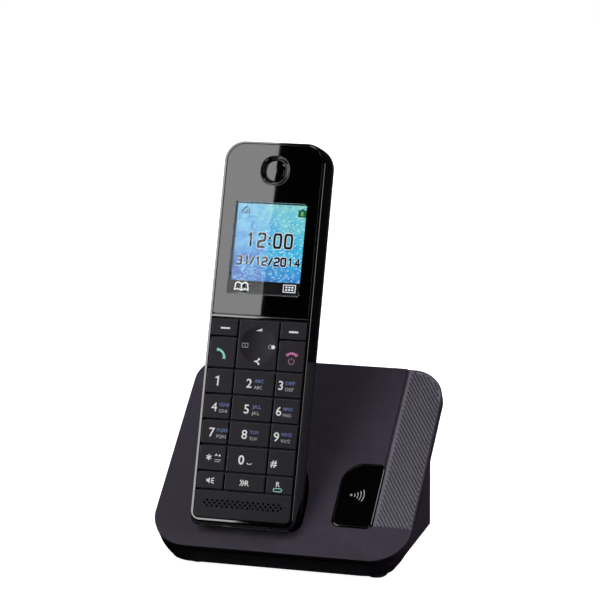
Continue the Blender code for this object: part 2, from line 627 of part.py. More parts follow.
def batteries():
    """Two cells side by side, the second one turned end for end, and the strips they meet."""
    nub, shoulder = 1.0, BATTERY_LENGTH - 1.0
    profile = [(0.0, BATTERY_LENGTH), (1.9, BATTERY_LENGTH), (1.9, shoulder), (BATTERY_RADIUS - 0.4, shoulder),
               (BATTERY_RADIUS, shoulder - 0.6), (BATTERY_RADIUS, 0.5), (BATTERY_RADIUS - 0.5, 0.0), (0.0, 0.0)]
    top = BATTERY_BOTTOM + BATTERY_LENGTH
    turned("battery_1", profile, HANDSET_FRAME, "battery", (-BATTERY_X, BATTERY_BOTTOM, BATTERY_Z),
           (-math.pi / 2, 0.0, 0.0))
    turned("battery_2", profile, HANDSET_FRAME, "battery", (BATTERY_X, top, BATTERY_Z),
           (math.pi / 2, 0.0, 0.0))
    box("battery_contact_lower", (-10.3, BATTERY_BOTTOM - nub, -17.0), (10.3, BATTERY_BOTTOM - 0.4, -8.8),
        HANDSET_FRAME, "nickel")
    box("battery_contact_upper", (-10.3, top + 0.4, -17.0), (10.3, top + nub, -8.8), HANDSET_FRAME, "nickel")


def lower_grille():
    half = KEYPAD_HALF_WIDTH
    outline = rounded(-half, half, GRILLE_BOTTOM, SPEAKER_ROW - KEY_GAP / 2, (2.0, 2.0, 0.5, 0.5), 4)
    prism("lower_grille", outline, -1.6, KEY_TOP, HANDSET_FRAME, "key")


def key(name, left, right, bottom, top):
    """Key tile with its origin at the middle of its top."""
    centre_x, centre_y = (left + right) / 2, (bottom + top) / 2
    half_x, half_y = (right - left - KEY_GAP) / 2, (top - bottom - KEY_GAP) / 2
    outline = rounded(-half_x, half_x, -half_y, half_y, (KEY_RADIUS,) * 4, 2)
    return prism(name, outline, KEY_BOTTOM - KEY_TOP, 0.0, HANDSET_FRAME, "key",
                 location=(centre_x, centre_y, KEY_TOP))


def keypad():
    for bottom, top, names in KEY_ROWS:
        for column, name in enumerate(names):
            if name:
                key(name, COLUMN_EDGES[column], COLUMN_EDGES[column + 1], bottom, top)


def navigation_key():
    """Rocking key with a dish in its face, on the disc that it rocks about."""
    middle = (TALK_ROW + KEYPAD_TOP) / 2
    pivot = (0.0, middle, NAV_PIVOT_Z)
    half_x, half_y = COLUMN_GAP_X - KEY_GAP / 2, (KEYPAD_TOP - TALK_ROW - KEY_GAP) / 2
    outline = rounded(-half_x, half_x, -half_y, half_y, (KEY_RADIUS,) * 4, 2)
    nav = prism("nav_key", outline, -1.7 - NAV_PIVOT_Z, KEY_TOP - NAV_PIVOT_Z, HANDSET_FRAME, "key",
                location=pivot)
    sphere_radius = (NAV_DISH_RADIUS ** 2 + NAV_DISH_DEPTH ** 2) / (2 * NAV_DISH_DEPTH)
    bm = bmesh.new()
    bmesh.ops.create_uvsphere(bm, u_segments=24, v_segments=96, radius=sphere_radius)
    mesh = bpy.data.meshes.new("nav_dish")
    bm.to_mesh(mesh)
    bm.free()
    height = KEY_TOP - NAV_DISH_DEPTH + sphere_radius
    cut(nav, add_object("nav_dish", mesh, HANDSET_FRAME, None, (0.0, middle, height)))
    disc = [(0.0, 0.25), (3.6, 0.25), (4.0, 0.0), (3.6, -0.25), (0.0, -0.25)]
    turned("nav_actuator", disc, HANDSET_FRAME, "membrane", pivot)


# ---------------------------------------------------------------- assembly

TRIM = rear_trim()
base_top_cover(TRIM)
base_bottom_case(TRIM)
base_electronics()
locator_button()
feet_and_screws()
handset_front_case()
handset_rear_case()
battery_door()
display()
handset_electronics()
batteries()
lower_grille()
keypad()
navigation_key()
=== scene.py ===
"""Looks of the cordless telephone and its charging base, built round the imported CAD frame.

Pieces are modelled in millimetres in one of three frames and then set in place in metres:
the handset's (x across, y up the face, z out of it, z = 0 at the frame's front), the sloping
plate's (x across, y up the slope, z out of it) and the base's (upright, z = 0 on the floor).
"""
import json
import math

import bmesh
import bpy
from mathutils import Matrix, Vector

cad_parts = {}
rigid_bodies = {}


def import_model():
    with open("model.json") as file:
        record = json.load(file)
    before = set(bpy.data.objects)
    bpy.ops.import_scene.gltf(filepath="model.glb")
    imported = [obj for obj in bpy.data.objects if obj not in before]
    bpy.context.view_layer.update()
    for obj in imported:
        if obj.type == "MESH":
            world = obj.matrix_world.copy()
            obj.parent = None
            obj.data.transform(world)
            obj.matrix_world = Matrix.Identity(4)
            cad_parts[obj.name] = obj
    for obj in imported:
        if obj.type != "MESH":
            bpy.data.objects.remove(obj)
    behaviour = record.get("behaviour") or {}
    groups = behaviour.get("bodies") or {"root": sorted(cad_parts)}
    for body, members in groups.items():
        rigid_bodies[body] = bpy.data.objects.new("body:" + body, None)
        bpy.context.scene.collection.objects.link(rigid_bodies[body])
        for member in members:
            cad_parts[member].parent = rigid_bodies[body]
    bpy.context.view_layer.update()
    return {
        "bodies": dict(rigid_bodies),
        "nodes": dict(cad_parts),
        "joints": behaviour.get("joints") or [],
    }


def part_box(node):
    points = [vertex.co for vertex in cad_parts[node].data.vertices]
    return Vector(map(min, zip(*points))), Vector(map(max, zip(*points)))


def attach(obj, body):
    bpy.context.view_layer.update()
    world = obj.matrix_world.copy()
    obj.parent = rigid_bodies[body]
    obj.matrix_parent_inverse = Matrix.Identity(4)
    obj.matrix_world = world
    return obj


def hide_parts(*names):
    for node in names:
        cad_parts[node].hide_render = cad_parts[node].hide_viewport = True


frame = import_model()
MM = 0.001

# Handset
HANDSET_BOTTOM, HANDSET_TOP = 1.1, 150.4
HALF_WIDTH = 20.9
FACE_INSET = 0.7
END_INSET_SHARE = 0.6
HANDSET_LOWEST = HANDSET_BOTTOM - END_INSET_SHARE * FACE_INSET      # of the front case, at its widest
PARTING_DEPTH = 9.5
REAR_START, REAR_DEPTH, REAR_INSET = 9.8, 19.5, 6.2
WINDOW_BOTTOM, WINDOW_TOP, WINDOW_HALF = 82.4, 149.7, 19.3
WINDOW_FRONT, WINDOW_REAR = -0.05, -1.6
LCD_OPENING = (-14.6, 14.6, 90.3, 126.8)
PICTURE = (-14.0, 14.0, 91.2, 126.5)
PICTURE_BAR_TOP = 96.1
PICTURE_Z = -2.9
EARPIECE_X, EARPIECE_Y, EARPIECE_HALF = 0.4, 139.4, 5.55
KEYPAD_HALF, COLUMN_GAP_X, KEY_GAP = 19.3, 8.35, 0.55
KEY_TOP, KEY_BOTTOM = -0.15, -1.9
INK_LOW, INK_HIGH = KEY_TOP - 0.01, KEY_TOP + 0.03
COLUMN_EDGES = (-KEYPAD_HALF - KEY_GAP / 2, -COLUMN_GAP_X, COLUMN_GAP_X, KEYPAD_HALF + KEY_GAP / 2)
ROW_EDGES = (13.9, 21.0, 31.3, 41.05, 51.0, 61.0, 73.4, 80.7)
KEY_NAMES = (
    ("speaker", "redial", "recall"),
    ("star", "0", "hash"),
    ("7", "8", "9"),
    ("4", "5", "6"),
    ("1", "2", "3"),
    ("talk", None, "end"),
    ("soft_left", None, "soft_right"),
)
GRILLE_BOTTOM = 3.1
NAV_MIDDLE_Y = (ROW_EDGES[5] + ROW_EDGES[7]) / 2
DISH_RADIUS, DISH_DEPTH = 7.2, 0.45
DOOR = (-12.6, 12.6, 33.0, 88.5)
DOOR_INNER = -18.3
RINGER_Y = 112.0
CONTACT_X, CONTACT_DEPTH = 9.0, 12.6

# Base
PLATE_HALF, PLATE_LENGTH = 51.3, 90.96
PLATE_RADII = (15.0, 15.0, 14.0, 12.0)
COVER_THICKNESS = 1.4
STRIP_RAMP, STRIP_LEFT, STRIP_BOTTOM, STRIP_STEP = 34.7, 35.2, 15.4, 0.5
STRIP_RIM = 0.62
GROOVE = 0.7                # depth and width of the groove beside the strip, and its distance from the edge
BUTTON = (19.5, 35.4, 14.4, 43.8)
BUTTON_RADII = (3.2, 2.4, 2.4, 9.0)
REAR_Y, BODY_HALF, BODY_FRONT_Y, BODY_BOTTOM, BODY_RADIUS = 35.7, 44.4, -33.4, 1.1, 11.0
POCKET_HALF, POCKET_FLOOR, POCKET_BACK, POCKET_WALL = 22.4, 0.3, 19.95, 1.6
POCKET_TOP, POCKET_RADII = 80.0, (4.2, 4.2, 1.0, 1.0)
SCREWS = ((-34.0, 8.0), (34.0, 8.0))
FOOT_ROUNDING = 0.5

SHARP = math.radians(32)


# ---------------------------------------------------------------- frames

def extent(node, axis):
    """Lowest and highest place of a CAD node along an axis, in millimetres."""
    places = [vertex.co.dot(axis) / MM for vertex in frame["nodes"][node].data.vertices]
    return min(places), max(places)


def axes_matrix(place, right, up, out):
    """Matrix with this origin and these axes."""
    matrix = Matrix((right, up, out)).transposed().to_4x4()
    matrix.translation = place
    return matrix


def case_frame(node, up, out, lowest=0.0):
    """Frame of a CAD case: x = 0 in its middle, y = lowest at its lowest point and z = 0 at its front."""
    low, front = extent(node, up)[0] - lowest, extent(node, out)[1]
    return axes_matrix(RIGHT * middle(extent(node, RIGHT)) + up * low + out * front, RIGHT, up, out)


def middle(span):
    return (span[0] + span[1]) / 2


JOINT_AXES = {joint["name"]: Vector(joint["axis"]) for joint in frame["joints"]}
RIGHT = Vector((1.0, 0.0, 0.0))
FACE_UP = JOINT_AXES["handset_lift"]
FACE_OUT = -JOINT_AXES["key_5_press"]
HANDSET = case_frame("handset_front_case", FACE_UP, FACE_OUT, HANDSET_LOWEST)
PLATE_OUT = -JOINT_AXES["locator_press"]
PLATE_UP = PLATE_OUT.cross(RIGHT)
PLATE = case_frame("base_top_cover", PLATE_UP, PLATE_OUT)
BASE = Matrix.Translation((middle(extent("base_bottom_case", RIGHT)),
                           extent("base_bottom_case", Vector((0, 1, 0)))[1] - REAR_Y, 0.0))
HANDSET_ON_PLATE = PLATE.inverted() @ HANDSET
BASE_ON_PLATE = PLATE.inverted() @ BASE
PLATE_ON_BASE = BASE.inverted() @ PLATE


# ---------------------------------------------------------------- outlines

def arc(x, y, radius_x, radius_y, start, end, steps):
    points = []
    for i in range(steps + 1):
        angle = math.radians(start + (end - start) * i / steps)
        points.append((x + radius_x * math.cos(angle), y + radius_y * math.sin(angle)))
    return points


def rounded(sides, radii, steps=8, grow=0.0):
    """Rectangle (left, right, bottom, top) with radii at lower left, lower right, upper right, upper left."""
    left, right, bottom, top = sides[0] - grow, sides[1] + grow, sides[2] - grow, sides[3] + grow
    r0, r1, r2, r3 = [radius + grow for radius in (radii if hasattr(radii, "__len__") else (radii,) * 4)]
    return (arc(left + r0, bottom + r0, r0, r0, 180, 270, steps)
            + arc(right - r1, bottom + r1, r1, r1, 270, 360, steps)
            + arc(right - r2, top - r2, r2, r2, 0, 90, steps)
            + arc(left + r3, top - r3, r3, r3, 90, 180, steps))


def oval(x, y, half_x, half_y, power=2.0, steps=48):
    """Ellipse, or with a power above 2 a squarer one."""
    points = []
    for i in range(steps):
        angle = 2 * math.pi * i / steps
        c, s = math.cos(angle), math.sin(angle)
        points.append((x + half_x * math.copysign(abs(c) ** (2 / power), c),
                       y + half_y * math.copysign(abs(s) ** (2 / power), s)))
    return points


def around(x, y, half_x, half_y):
    """Sides (left, right, bottom, top) of a rectangle round a point."""
    return x - half_x, x + half_x, y - half_y, y + half_y


def shrunk(sides, by_x, by_y):
    """Sides moved inward."""
    left, right, bottom, top = sides
    return left + by_x, right - by_x, bottom + by_y, top - by_y


# ---------------------------------------------------------------- meshes

WELD = 0.0005               # points nearer to each other than this become one
FLAT = 0.002                # faces whose planes differ by less than this angle become one


def opened(*meshes):
    """The meshes in one editable copy."""
    bm = bmesh.new()
    for mesh in meshes:
        bm.from_mesh(mesh)
    return bm


def written(bm, mesh=None):
    """The mesh, or a new one, holding what was edited."""
    if mesh is None:
        mesh = bpy.data.meshes.new("shape")
    bm.to_mesh(mesh)
    bm.free()
    return mesh


def outward(bm):
    """New mesh whose faces all look outward."""
    bmesh.ops.recalc_face_normals(bm, faces=bm.faces)
    return written(bm)


def placed(name, data):
    """New object in the scene."""
    obj = bpy.data.objects.new(name, data)
    bpy.context.scene.collection.objects.link(obj)
    return obj


def evaluated(obj):
    """Mesh of an object with its modifiers applied."""
    graph = bpy.context.evaluated_depsgraph_get()
    return bpy.data.meshes.new_from_object(obj.evaluated_get(graph))


def loft(rings, closed=False):
    """Solid through rings with equal numbers of (x, y, z) points; closed joins the last to the first."""
    bm = bmesh.new()
    loops = [[bm.verts.new(point) for point in ring] for ring in rings]
    count = len(rings[0])
    pairs = list(zip(loops, loops[1:] + loops[:1])) if closed else list(zip(loops, loops[1:]))
    for lower, upper in pairs:
        for i in range(count):
            j = (i + 1) % count
            bm.faces.new((lower[i], lower[j], upper[j], upper[i]))
    if not closed:
        bm.faces.new(reversed(loops[0]))
        bm.faces.new(loops[-1])
    return outward(bm)


def lifted(outline, z):
    return [(x, y, z) for x, y in outline]


def prism(outline, low, high):
    return loft([lifted(outline, low), lifted(outline, high)])


def box(low, high):
    return prism([(low[0], low[1]), (high[0], low[1]), (high[0], high[1]), (low[0], high[1])],
                 low[2], high[2])


def moved(mesh, matrix):
    mesh.transform(matrix)
    return mesh


def gathered(meshes):
    """Several meshes as one."""
    return written(opened(*meshes))


def combined(mesh, others, operation):
    """The mesh cut by, joined with or limited to each of the others."""
    target = placed("target", mesh)
    helpers = [placed("helper", other) for other in others]
    for helper in helpers:
        modifier = target.modifiers.new("combine", "BOOLEAN")
        modifier.operation = operation
        modifier.object = helper
        modifier.solver = "EXACT"
    result = evaluated(target)
    for obj in [target, *helpers]:
        bpy.data.objects.remove(obj)
    bm = opened(result)
    bmesh.ops.remove_doubles(bm, verts=bm.verts, dist=WELD)
    bmesh.ops.dissolve_limit(bm, angle_limit=FLAT, verts=bm.verts, edges=bm.edges)
    return written(bm, result)


def cut(mesh, *others):
    return combined(mesh, others, "DIFFERENCE")


def join(mesh, *others):
    return combined(mesh, others, "UNION")


def bevelled(mesh, width, segments=3, where=None):
    """Rounds the mesh's sharp edges, or only those whose middle passes the test."""
    bm = opened(mesh)
    edges = []
    for edge in bm.edges:
        centre = (edge.verts[0].co + edge.verts[1].co) / 2
        if edge.is_manifold and edge.calc_face_angle(0.0) > SHARP and (where is None or where(centre)):
            edges.append(edge)
    bmesh.ops.bevel(bm, geom=edges, offset=width, segments=segments, profile=0.5, affect="EDGES",
                    clamp_overlap=True)
    return written(bm, mesh)


def above(height):
    """Test for the edges above a height."""
    return lambda point: point.z > height


def sideways(points, distance, closed):
    """Points of a line moved to its left by a distance."""
    points = [Vector(point) for point in points]
    count = len(points)
    result = []
    for i, point in enumerate(points):
        ways = []
        if i > 0 or closed:
            ways.append((point - points[i - 1]).normalized())
        if i < count - 1 or closed:
            ways.append((points[(i + 1) % count] - point).normalized())
        way = sum(ways, Vector((0.0, 0.0))).normalized()
        normal = Vector((-way.y, way.x))
        spread = max(normal.dot(Vector((-ways[0].y, ways[0].x))), 0.5)
        result.append(point + normal * distance / spread)
    return result


def ribbon(points, width, low, high, closed=False):
    """Flat stroke along a line."""
    left = sideways(points, width / 2, closed)
    right = sideways(points, -width / 2, closed)
    rings = [[(*a, low), (*b, low), (*b, high), (*a, high)] for a, b in zip(left, right)]
    return loft(rings, closed)


def disc(x, y, radius, low, high, steps=20):
    return prism(oval(x, y, radius, radius, steps=steps), low, high)


CAP_HEIGHT = 0.73            # of the default font's capitals, for a font size of 1


def letters(text, left, bottom, height, width=None, weight=0.012):
    """Print on the keys, of a capital height and stretched to a width if one is given."""
    curve = bpy.data.curves.new("letters", "FONT")
    curve.body = text
    curve.resolution_u = 3
    curve.offset = weight
    curve.extrude = 0.1
    obj = placed("letters", curve)
    mesh = evaluated(obj)
    bpy.data.objects.remove(obj)
    corners = [[f(vertex.co[axis] for vertex in mesh.vertices) for f in (min, max)] for axis in range(3)]
    scale_y = height / CAP_HEIGHT
    scale_x = width / (corners[0][1] - corners[0][0]) if width else scale_y
    scale_z = (INK_HIGH - INK_LOW) / (corners[2][1] - corners[2][0])
    mesh.transform(Matrix.Translation((left, bottom, INK_LOW))
                   @ Matrix.Diagonal((scale_x, scale_y, scale_z, 1.0))
                   @ Matrix.Translation((-corners[0][0], 0.0, -corners[2][0])))
    bm = opened(mesh)
    bmesh.ops.remove_doubles(bm, verts=bm.verts, dist=WELD)
    return written(bm, mesh)


# ---------------------------------------------------------------- materials

class Nodes:
    """Short calls for building one material's node tree."""

    def __init__(self, material):
        """Takes a material, or the name of a new one."""
        if isinstance(material, str):
            material = bpy.data.materials.new(material)
            material.use_nodes = True
        self.material, self.tree = material, material.node_tree
        self.shader = self.tree.nodes["Principled BSDF"]
        self.place = self.add("ShaderNodeTexCoord").outputs["Object"]

    def add(self, kind, **settings):
        node = self.tree.nodes.new(kind)
        for key, value in settings.items():
            setattr(node, key, value)
        return node

    def feed(self, socket, value):
        if isinstance(value, bpy.types.NodeSocket):
            self.tree.links.new(value, socket)
        else:
            socket.default_value = value

    def shade(self, name, value):
        self.feed(self.shader.inputs[name], value)

    def source(self, name):
        """What feeds one of the shader's sockets."""
        return self.shader.inputs[name].links[0].from_socket

    def noise(self, size, detail=2.0):
        """Noise whose blobs are about size millimetres across."""
        node = self.add("ShaderNodeTexNoise")
        self.feed(node.inputs["Vector"], self.place)
        node.inputs["Scale"].default_value = 1 / (size * MM)
        node.inputs["Detail"].default_value = detail
        return node.outputs["Fac"]

    def remap(self, value, low, high, to_low=0.0, to_high=1.0):
        node = self.add("ShaderNodeMapRange")
        for socket, number in zip(node.inputs, (value, low, high, to_low, to_high)):
            self.feed(socket, number)
        return node.outputs["Result"]

    def patches(self, size, low, high, detail=2.0, ends=(0.3, 0.7)):
        """Noise that varies a value from low to high, which it reaches at the ends of its own range."""
        return self.remap(self.noise(size, detail), *ends, low, high)

    def math(self, operation, a, b=0.0):
        node = self.add("ShaderNodeMath", operation=operation)
        self.feed(node.inputs[0], a)
        self.feed(node.inputs[1], b)
        return node.outputs[0]

    def mix(self, factor, a, b):
        node = self.add("ShaderNodeMix", data_type="RGBA")
        self.feed(node.inputs[0], factor)
        self.feed(node.inputs[6], (*a, 1.0) if isinstance(a, tuple) else a)
        self.feed(node.inputs[7], (*b, 1.0) if isinstance(b, tuple) else b)
        return node.outputs[2]

    def dot(self, vector, direction):
        node = self.add("ShaderNodeVectorMath", operation="DOT_PRODUCT")
        self.feed(node.inputs[0], vector)
        node.inputs[1].default_value = direction
        return node.outputs["Value"]

    def along(self, where, index):
        """Place along one axis of a frame, in millimetres."""
        direction = where.col[index].to_3d()
        return self.math("SUBTRACT", self.dot(self.place, direction / MM), where.translation.dot(direction))

    def bump(self, height, depth):
        node = self.add("ShaderNodeBump")
        self.feed(node.inputs["Height"], height)
        node.inputs["Distance"].default_value = depth * MM
        node.inputs["Strength"].default_value = 1.0
        self.shade("Normal", node.outputs[0])


def scaled(colour, factor):
    return tuple(min(channel * factor, 1.0) for channel in colour)


def moulded(name, colour, roughness, grain=0.3, depth=0.01, variation=0.12, spread=0.06, wear=0.5,
            metallic=0.0, ior=1.5):
    """Moulded plastic, rubber or metal: mottled colour, uneven gloss, fine grain and lighter worn edges."""
    nodes = Nodes(name)
    broad = nodes.patches(18.0, 0.0, 1.0, 3.0)
    base = nodes.mix(broad, scaled(colour, 1 - variation), scaled(colour, 1 + variation))
    pointiness = nodes.add("ShaderNodeNewGeometry").outputs["Pointiness"]
    edge = nodes.remap(pointiness, 0.52, 0.62, 0.0, wear)
    worn = nodes.math("MULTIPLY", edge, nodes.patches(1.2, 0.3, 1.0, ends=(0.35, 0.65)))
    lighter = tuple(channel * 1.5 + 0.01 for channel in colour)
    nodes.shade("Base Color", nodes.mix(worn, base, lighter))
    nodes.shade("Roughness", nodes.patches(3.5, roughness - spread, roughness + spread, 4.0))
    nodes.bump(nodes.noise(grain), depth)
    nodes.shade("Metallic", metallic)
    nodes.shade("IOR", ior)
    return nodes.material


def lit(nodes, tint):
    """Gives off light as a display does; the surface has only the polariser's fine grain."""
    nodes.shade("Specular IOR Level", 0.0)
    nodes.shade("Emission Color", tint)
    nodes.shade("Emission Strength", 1.0)
    nodes.shade("Roughness", nodes.patches(1.0, 0.35, 0.5))
    return nodes.material


def glowing(name, colour):
    """Lit ink of the display, whose colour hardly varies."""
    nodes = Nodes(name)
    nodes.shade("Base Color", nodes.mix(nodes.noise(2.0), (0.0, 0.0, 0.0), (0.01, 0.01, 0.01)))
    return lit(nodes, nodes.mix(nodes.noise(0.6), scaled(colour, 0.93), scaled(colour, 1.0)))


def printed(name, colour):
    """Print on the keys, worn unevenly, with a faint painted glow in its own colour."""
    nodes = Nodes(moulded(name, colour, 0.45, 0.3, 0.002, 0.05, 0.05, 0.0))
    # Painted light: the print gives off a faint glow of its own colour
    nodes.shade("Emission Color", nodes.source("Base Color"))
    nodes.shade("Emission Strength", PAINTED_PRINT_GLOW)
    return nodes.material


# Strength of the print's painted glow
PAINTED_PRINT_GLOW = 0.16
DROPS = (                   # spacing in millimetres, radius as a share of it, colour and strength
    (2.9, 0.40, (0.02, 0.17, 0.55), 0.5),
    (2.5, 0.34, (0.45, 0.80, 0.90), 0.5),
    (1.9, 0.26, (0.66, 0.92, 1.0), 0.75),
)


def picture_material():
    """The display's wallpaper: a blue to aqua wash with small lit drops of water on it."""
    nodes = Nodes("display_picture")
    left, right, _, top = PICTURE
    across = nodes.remap(nodes.along(HANDSET, 0), left, right)
    up = nodes.remap(nodes.along(HANDSET, 1), PICTURE_BAR_TOP, top)
    ripple = nodes.patches(4.0, -0.2, 0.2, 4.0)
    across = nodes.math("ADD", across, ripple)
    up = nodes.math("ADD", up, ripple)
    low = nodes.mix(across, (0.085, 0.165, 0.50), (0.040, 0.27, 0.66))
    mid = nodes.mix(across, (0.12, 0.36, 0.72), (0.045, 0.52, 0.78))
    high = nodes.mix(across, (0.22, 0.56, 0.82), (0.24, 0.66, 0.58))
    wash = nodes.mix(nodes.remap(up, 0.0, 0.45), low, mid)
    wash = nodes.mix(nodes.remap(up, 0.45, 1.0), wash, high)
    flat = nodes.add("ShaderNodeCombineXYZ")
    for index in (0, 1):
        nodes.feed(flat.inputs[index], nodes.along(HANDSET, index))
    stretched = nodes.add("ShaderNodeMapping")
    nodes.feed(stretched.inputs["Vector"], flat.outputs[0])
    stretched.inputs["Rotation"].default_value = (0.0, 0.0, 0.6)
    stretched.inputs["Scale"].default_value = (1.0, 1.7, 1.0)
    for spacing, radius, tone, share in DROPS:
        drops = nodes.add("ShaderNodeTexVoronoi", voronoi_dimensions="2D")
        nodes.feed(drops.inputs["Vector"], stretched.outputs[0])
        drops.inputs["Scale"].default_value = 1 / spacing
        near = nodes.remap(drops.outputs["Distance"], radius, radius * 0.3, 0.0, share)
        some = nodes.patches(spacing * 1.6, 0.0, 1.0, 0.0, (0.38, 0.5))
        wash = nodes.mix(nodes.math("MULTIPLY", near, some), wash, tone)
    nodes.shade("Base Color", (0.0, 0.0, 0.0, 1.0))
    return lit(nodes, wash)


def strip_material(colour):
    """Plastic of the textured strip, with painted shade that darkens it inside the dimples."""
    nodes = Nodes(moulded("strip_plastic", colour, 0.42, 0.3, 0.012, 0.06, 0.05, 0.3))
    # Painted shade: the colour darkens towards the bottom of each dimple, by depth below the strip's face
    painted_dimple_shade = nodes.remap(nodes.along(PLATE, 2), -STRIP_STEP - 0.16, -STRIP_STEP - 0.01)
    nodes.shade("Base Color", nodes.mix(painted_dimple_shade, scaled(colour, 0.16), nodes.source("Base Color")))
    return nodes.material


def key_material(colour):
    """Keys' plastic, with a painted highlight that lightens the faces looking left, and more faintly those
    looking up.
    """
    nodes = Nodes(moulded("key_plastic", colour, 0.38, 0.3, 0.012, 0.12, 0.05, 0.4, ior=1.2))
    normal = nodes.add("ShaderNodeNewGeometry").outputs["Normal"]
    tone = nodes.source("Base Color")
    # Painted highlight: by its normal, a face turned left, and more faintly up, is mixed towards a lighter
    # grey (0.15, 0.14, 0.16), unevenly
    for direction, share in ((-RIGHT, 1.0), (FACE_UP, 0.35)):
        painted_edge_highlight = nodes.remap(nodes.dot(normal, direction), 0.2, 0.5, 0.0, share)
        uneven = nodes.math("MULTIPLY", painted_edge_highlight, nodes.patches(2.0, 0.7, 1.0))
        tone = nodes.mix(uneven, tone, (0.15, 0.14, 0.16))
    nodes.shade("Base Color", tone)
    return nodes.material


def clear_material():
    """Coated clear plastic over the display, with the faintest smears."""
    nodes = Nodes("window_clear")
    nodes.shade("Transmission Weight", 1.0)
    nodes.shade("IOR", 1.2)
    nodes.shade("Base Color", nodes.mix(nodes.noise(8.0), (0.96, 0.98, 0.98), (1.0, 1.0, 1.0)))
    nodes.shade("Roughness", nodes.patches(6.0, 0.0, 0.02, 4.0, (0.4, 0.8)))
    return nodes.material


def board_material():
    """Green solder resist with copper tracks under it and pads showing."""
    nodes = Nodes("circuit_board")
    tracks = nodes.add("ShaderNodeTexBrick")
    nodes.feed(tracks.inputs["Vector"], nodes.place)
    tracks.inputs["Scale"].default_value = 160.0
    for socket, colour in (("Color1", (0.012, 0.10, 0.035, 1.0)), ("Color2", (0.020, 0.14, 0.050, 1.0)),
                           ("Mortar", (0.05, 0.22, 0.07, 1.0))):
        tracks.inputs[socket].default_value = colour
    pads = nodes.add("ShaderNodeTexVoronoi")
    nodes.feed(pads.inputs["Vector"], nodes.place)
    pads.inputs["Scale"].default_value = 1 / (2.4 * MM)
    pad = nodes.remap(pads.outputs["Distance"], 0.22, 0.18)
    nodes.shade("Base Color", nodes.mix(pad, tracks.outputs["Color"], (0.62, 0.50, 0.25)))
    nodes.shade("Metallic", pad)
    nodes.shade("Roughness", nodes.patches(1.5, 0.3, 0.45))
    nodes.bump(tracks.outputs["Fac"], 0.03)
    return nodes.material


def sleeve_material():
    """Printed battery sleeve: a pale body with a green band, both lightly scuffed."""
    nodes = Nodes("battery_sleeve")
    away = nodes.math("ABSOLUTE", nodes.math("SUBTRACT", nodes.along(HANDSET, 1), 48.0))
    band = nodes.remap(away, 5.2, 5.0)
    scuffs = nodes.patches(2.5, 0.0, 1.0, 4.0, (0.35, 0.65))
    pale = nodes.mix(scuffs, (0.70, 0.71, 0.72), (0.86, 0.87, 0.88))
    nodes.shade("Base Color", nodes.mix(band, pale, (0.04, 0.32, 0.12)))
    nodes.shade("Roughness", nodes.remap(scuffs, 0.0, 1.0, 0.25, 0.4))
    nodes.shade("Metallic", 0.2)
    nodes.bump(nodes.noise(0.8), 0.01)
    return nodes.material


# Colour, roughness, grain, its depth, variation, spread, wear, metallic and IOR. A shorter row keeps
# the values that moulded has of its own for the rest.
MOULDED = {
    "plate_plastic": ((0.027, 0.020, 0.036), 0.46, 0.35, 0.022, 0.10, 0.05, 0.35, 0.0, 1.4),
    "case_plastic": ((0.030, 0.023, 0.036), 0.42, 0.35, 0.018, 0.15, 0.06, 0.4, 0.0, 1.15),
    "foot_rubber": ((0.012, 0.012, 0.013), 0.78, 0.5, 0.05, 0.25, 0.1, 0.3),
    "plated_steel": ((0.55, 0.55, 0.57), 0.30, 0.6, 0.01, 0.10, 0.1, 0.3, 1.0),
    "contact_metal": ((0.50, 0.48, 0.43), 0.34, 0.5, 0.008, 0.08, 0.08, 0.3, 1.0),
    "jack_plastic": ((0.020, 0.020, 0.022), 0.45, 0.3, 0.012, 0.2, 0.08),
    "gloss_button": ((0.001, 0.001, 0.001), 0.10, 2.0, 0.0015, 0.3, 0.02, 0.2),
    "handset_satin": ((0.009, 0.007, 0.011), 0.3, 0.3, 0.01, 0.12, 0.05, 0.4, 0.0, 1.35),
    "handset_gloss": ((0.002, 0.002, 0.003), 0.035, 2.5, 0.0006, 0.3, 0.01, 0.1, 0.0, 1.7),
    "window_black": ((0.0008, 0.0008, 0.001), 0.015, 6.0, 0.0004, 0.3, 0.006, 0.0),
    "key_rubber": ((0.010, 0.010, 0.011), 0.68, 0.5, 0.02, 0.2, 0.08),
    "lcd_frame": ((0.012, 0.012, 0.014), 0.35, 0.5, 0.004, 0.2, 0.08),
}
PRINTED = {
    "ink_white": (0.88, 0.88, 0.88), "ink_pale": (0.42, 0.42, 0.43), "ink_grey": (0.30, 0.30, 0.32),
    "ink_blue": (0.045, 0.085, 0.28), "ink_teal": (0.24, 0.72, 0.62), "ink_pink": (0.60, 0.12, 0.36),
    "ink_plum": (0.26, 0.055, 0.18),
}
GLOWING = {
    "lcd_dark": (0.008, 0.010, 0.014), "lcd_bar": (0.006, 0.005, 0.006), "lcd_white": (0.86, 0.92, 0.95),
    "lcd_grey": (0.14, 0.15, 0.30), "lcd_slate": (0.03, 0.03, 0.07), "lcd_green": (0.012, 0.13, 0.045),
    "lcd_light_green": (0.16, 0.42, 0.16),
}
FINISHES = {
    **{name: moulded(name, *values) for name, values in MOULDED.items()},
    **{name: printed(name, colour) for name, colour in PRINTED.items()},
    **{name: glowing(name, colour) for name, colour in GLOWING.items()},
    "strip_plastic": strip_material((0.122, 0.109, 0.150)),
    "key_plastic": key_material((0.0095, 0.007, 0.012)),
    "lcd_picture": picture_material(),
    "window_clear": clear_material(),
    "circuit_board": board_material(),
    "battery_sleeve": sleeve_material(),
}


# ---------------------------------------------------------------- pieces

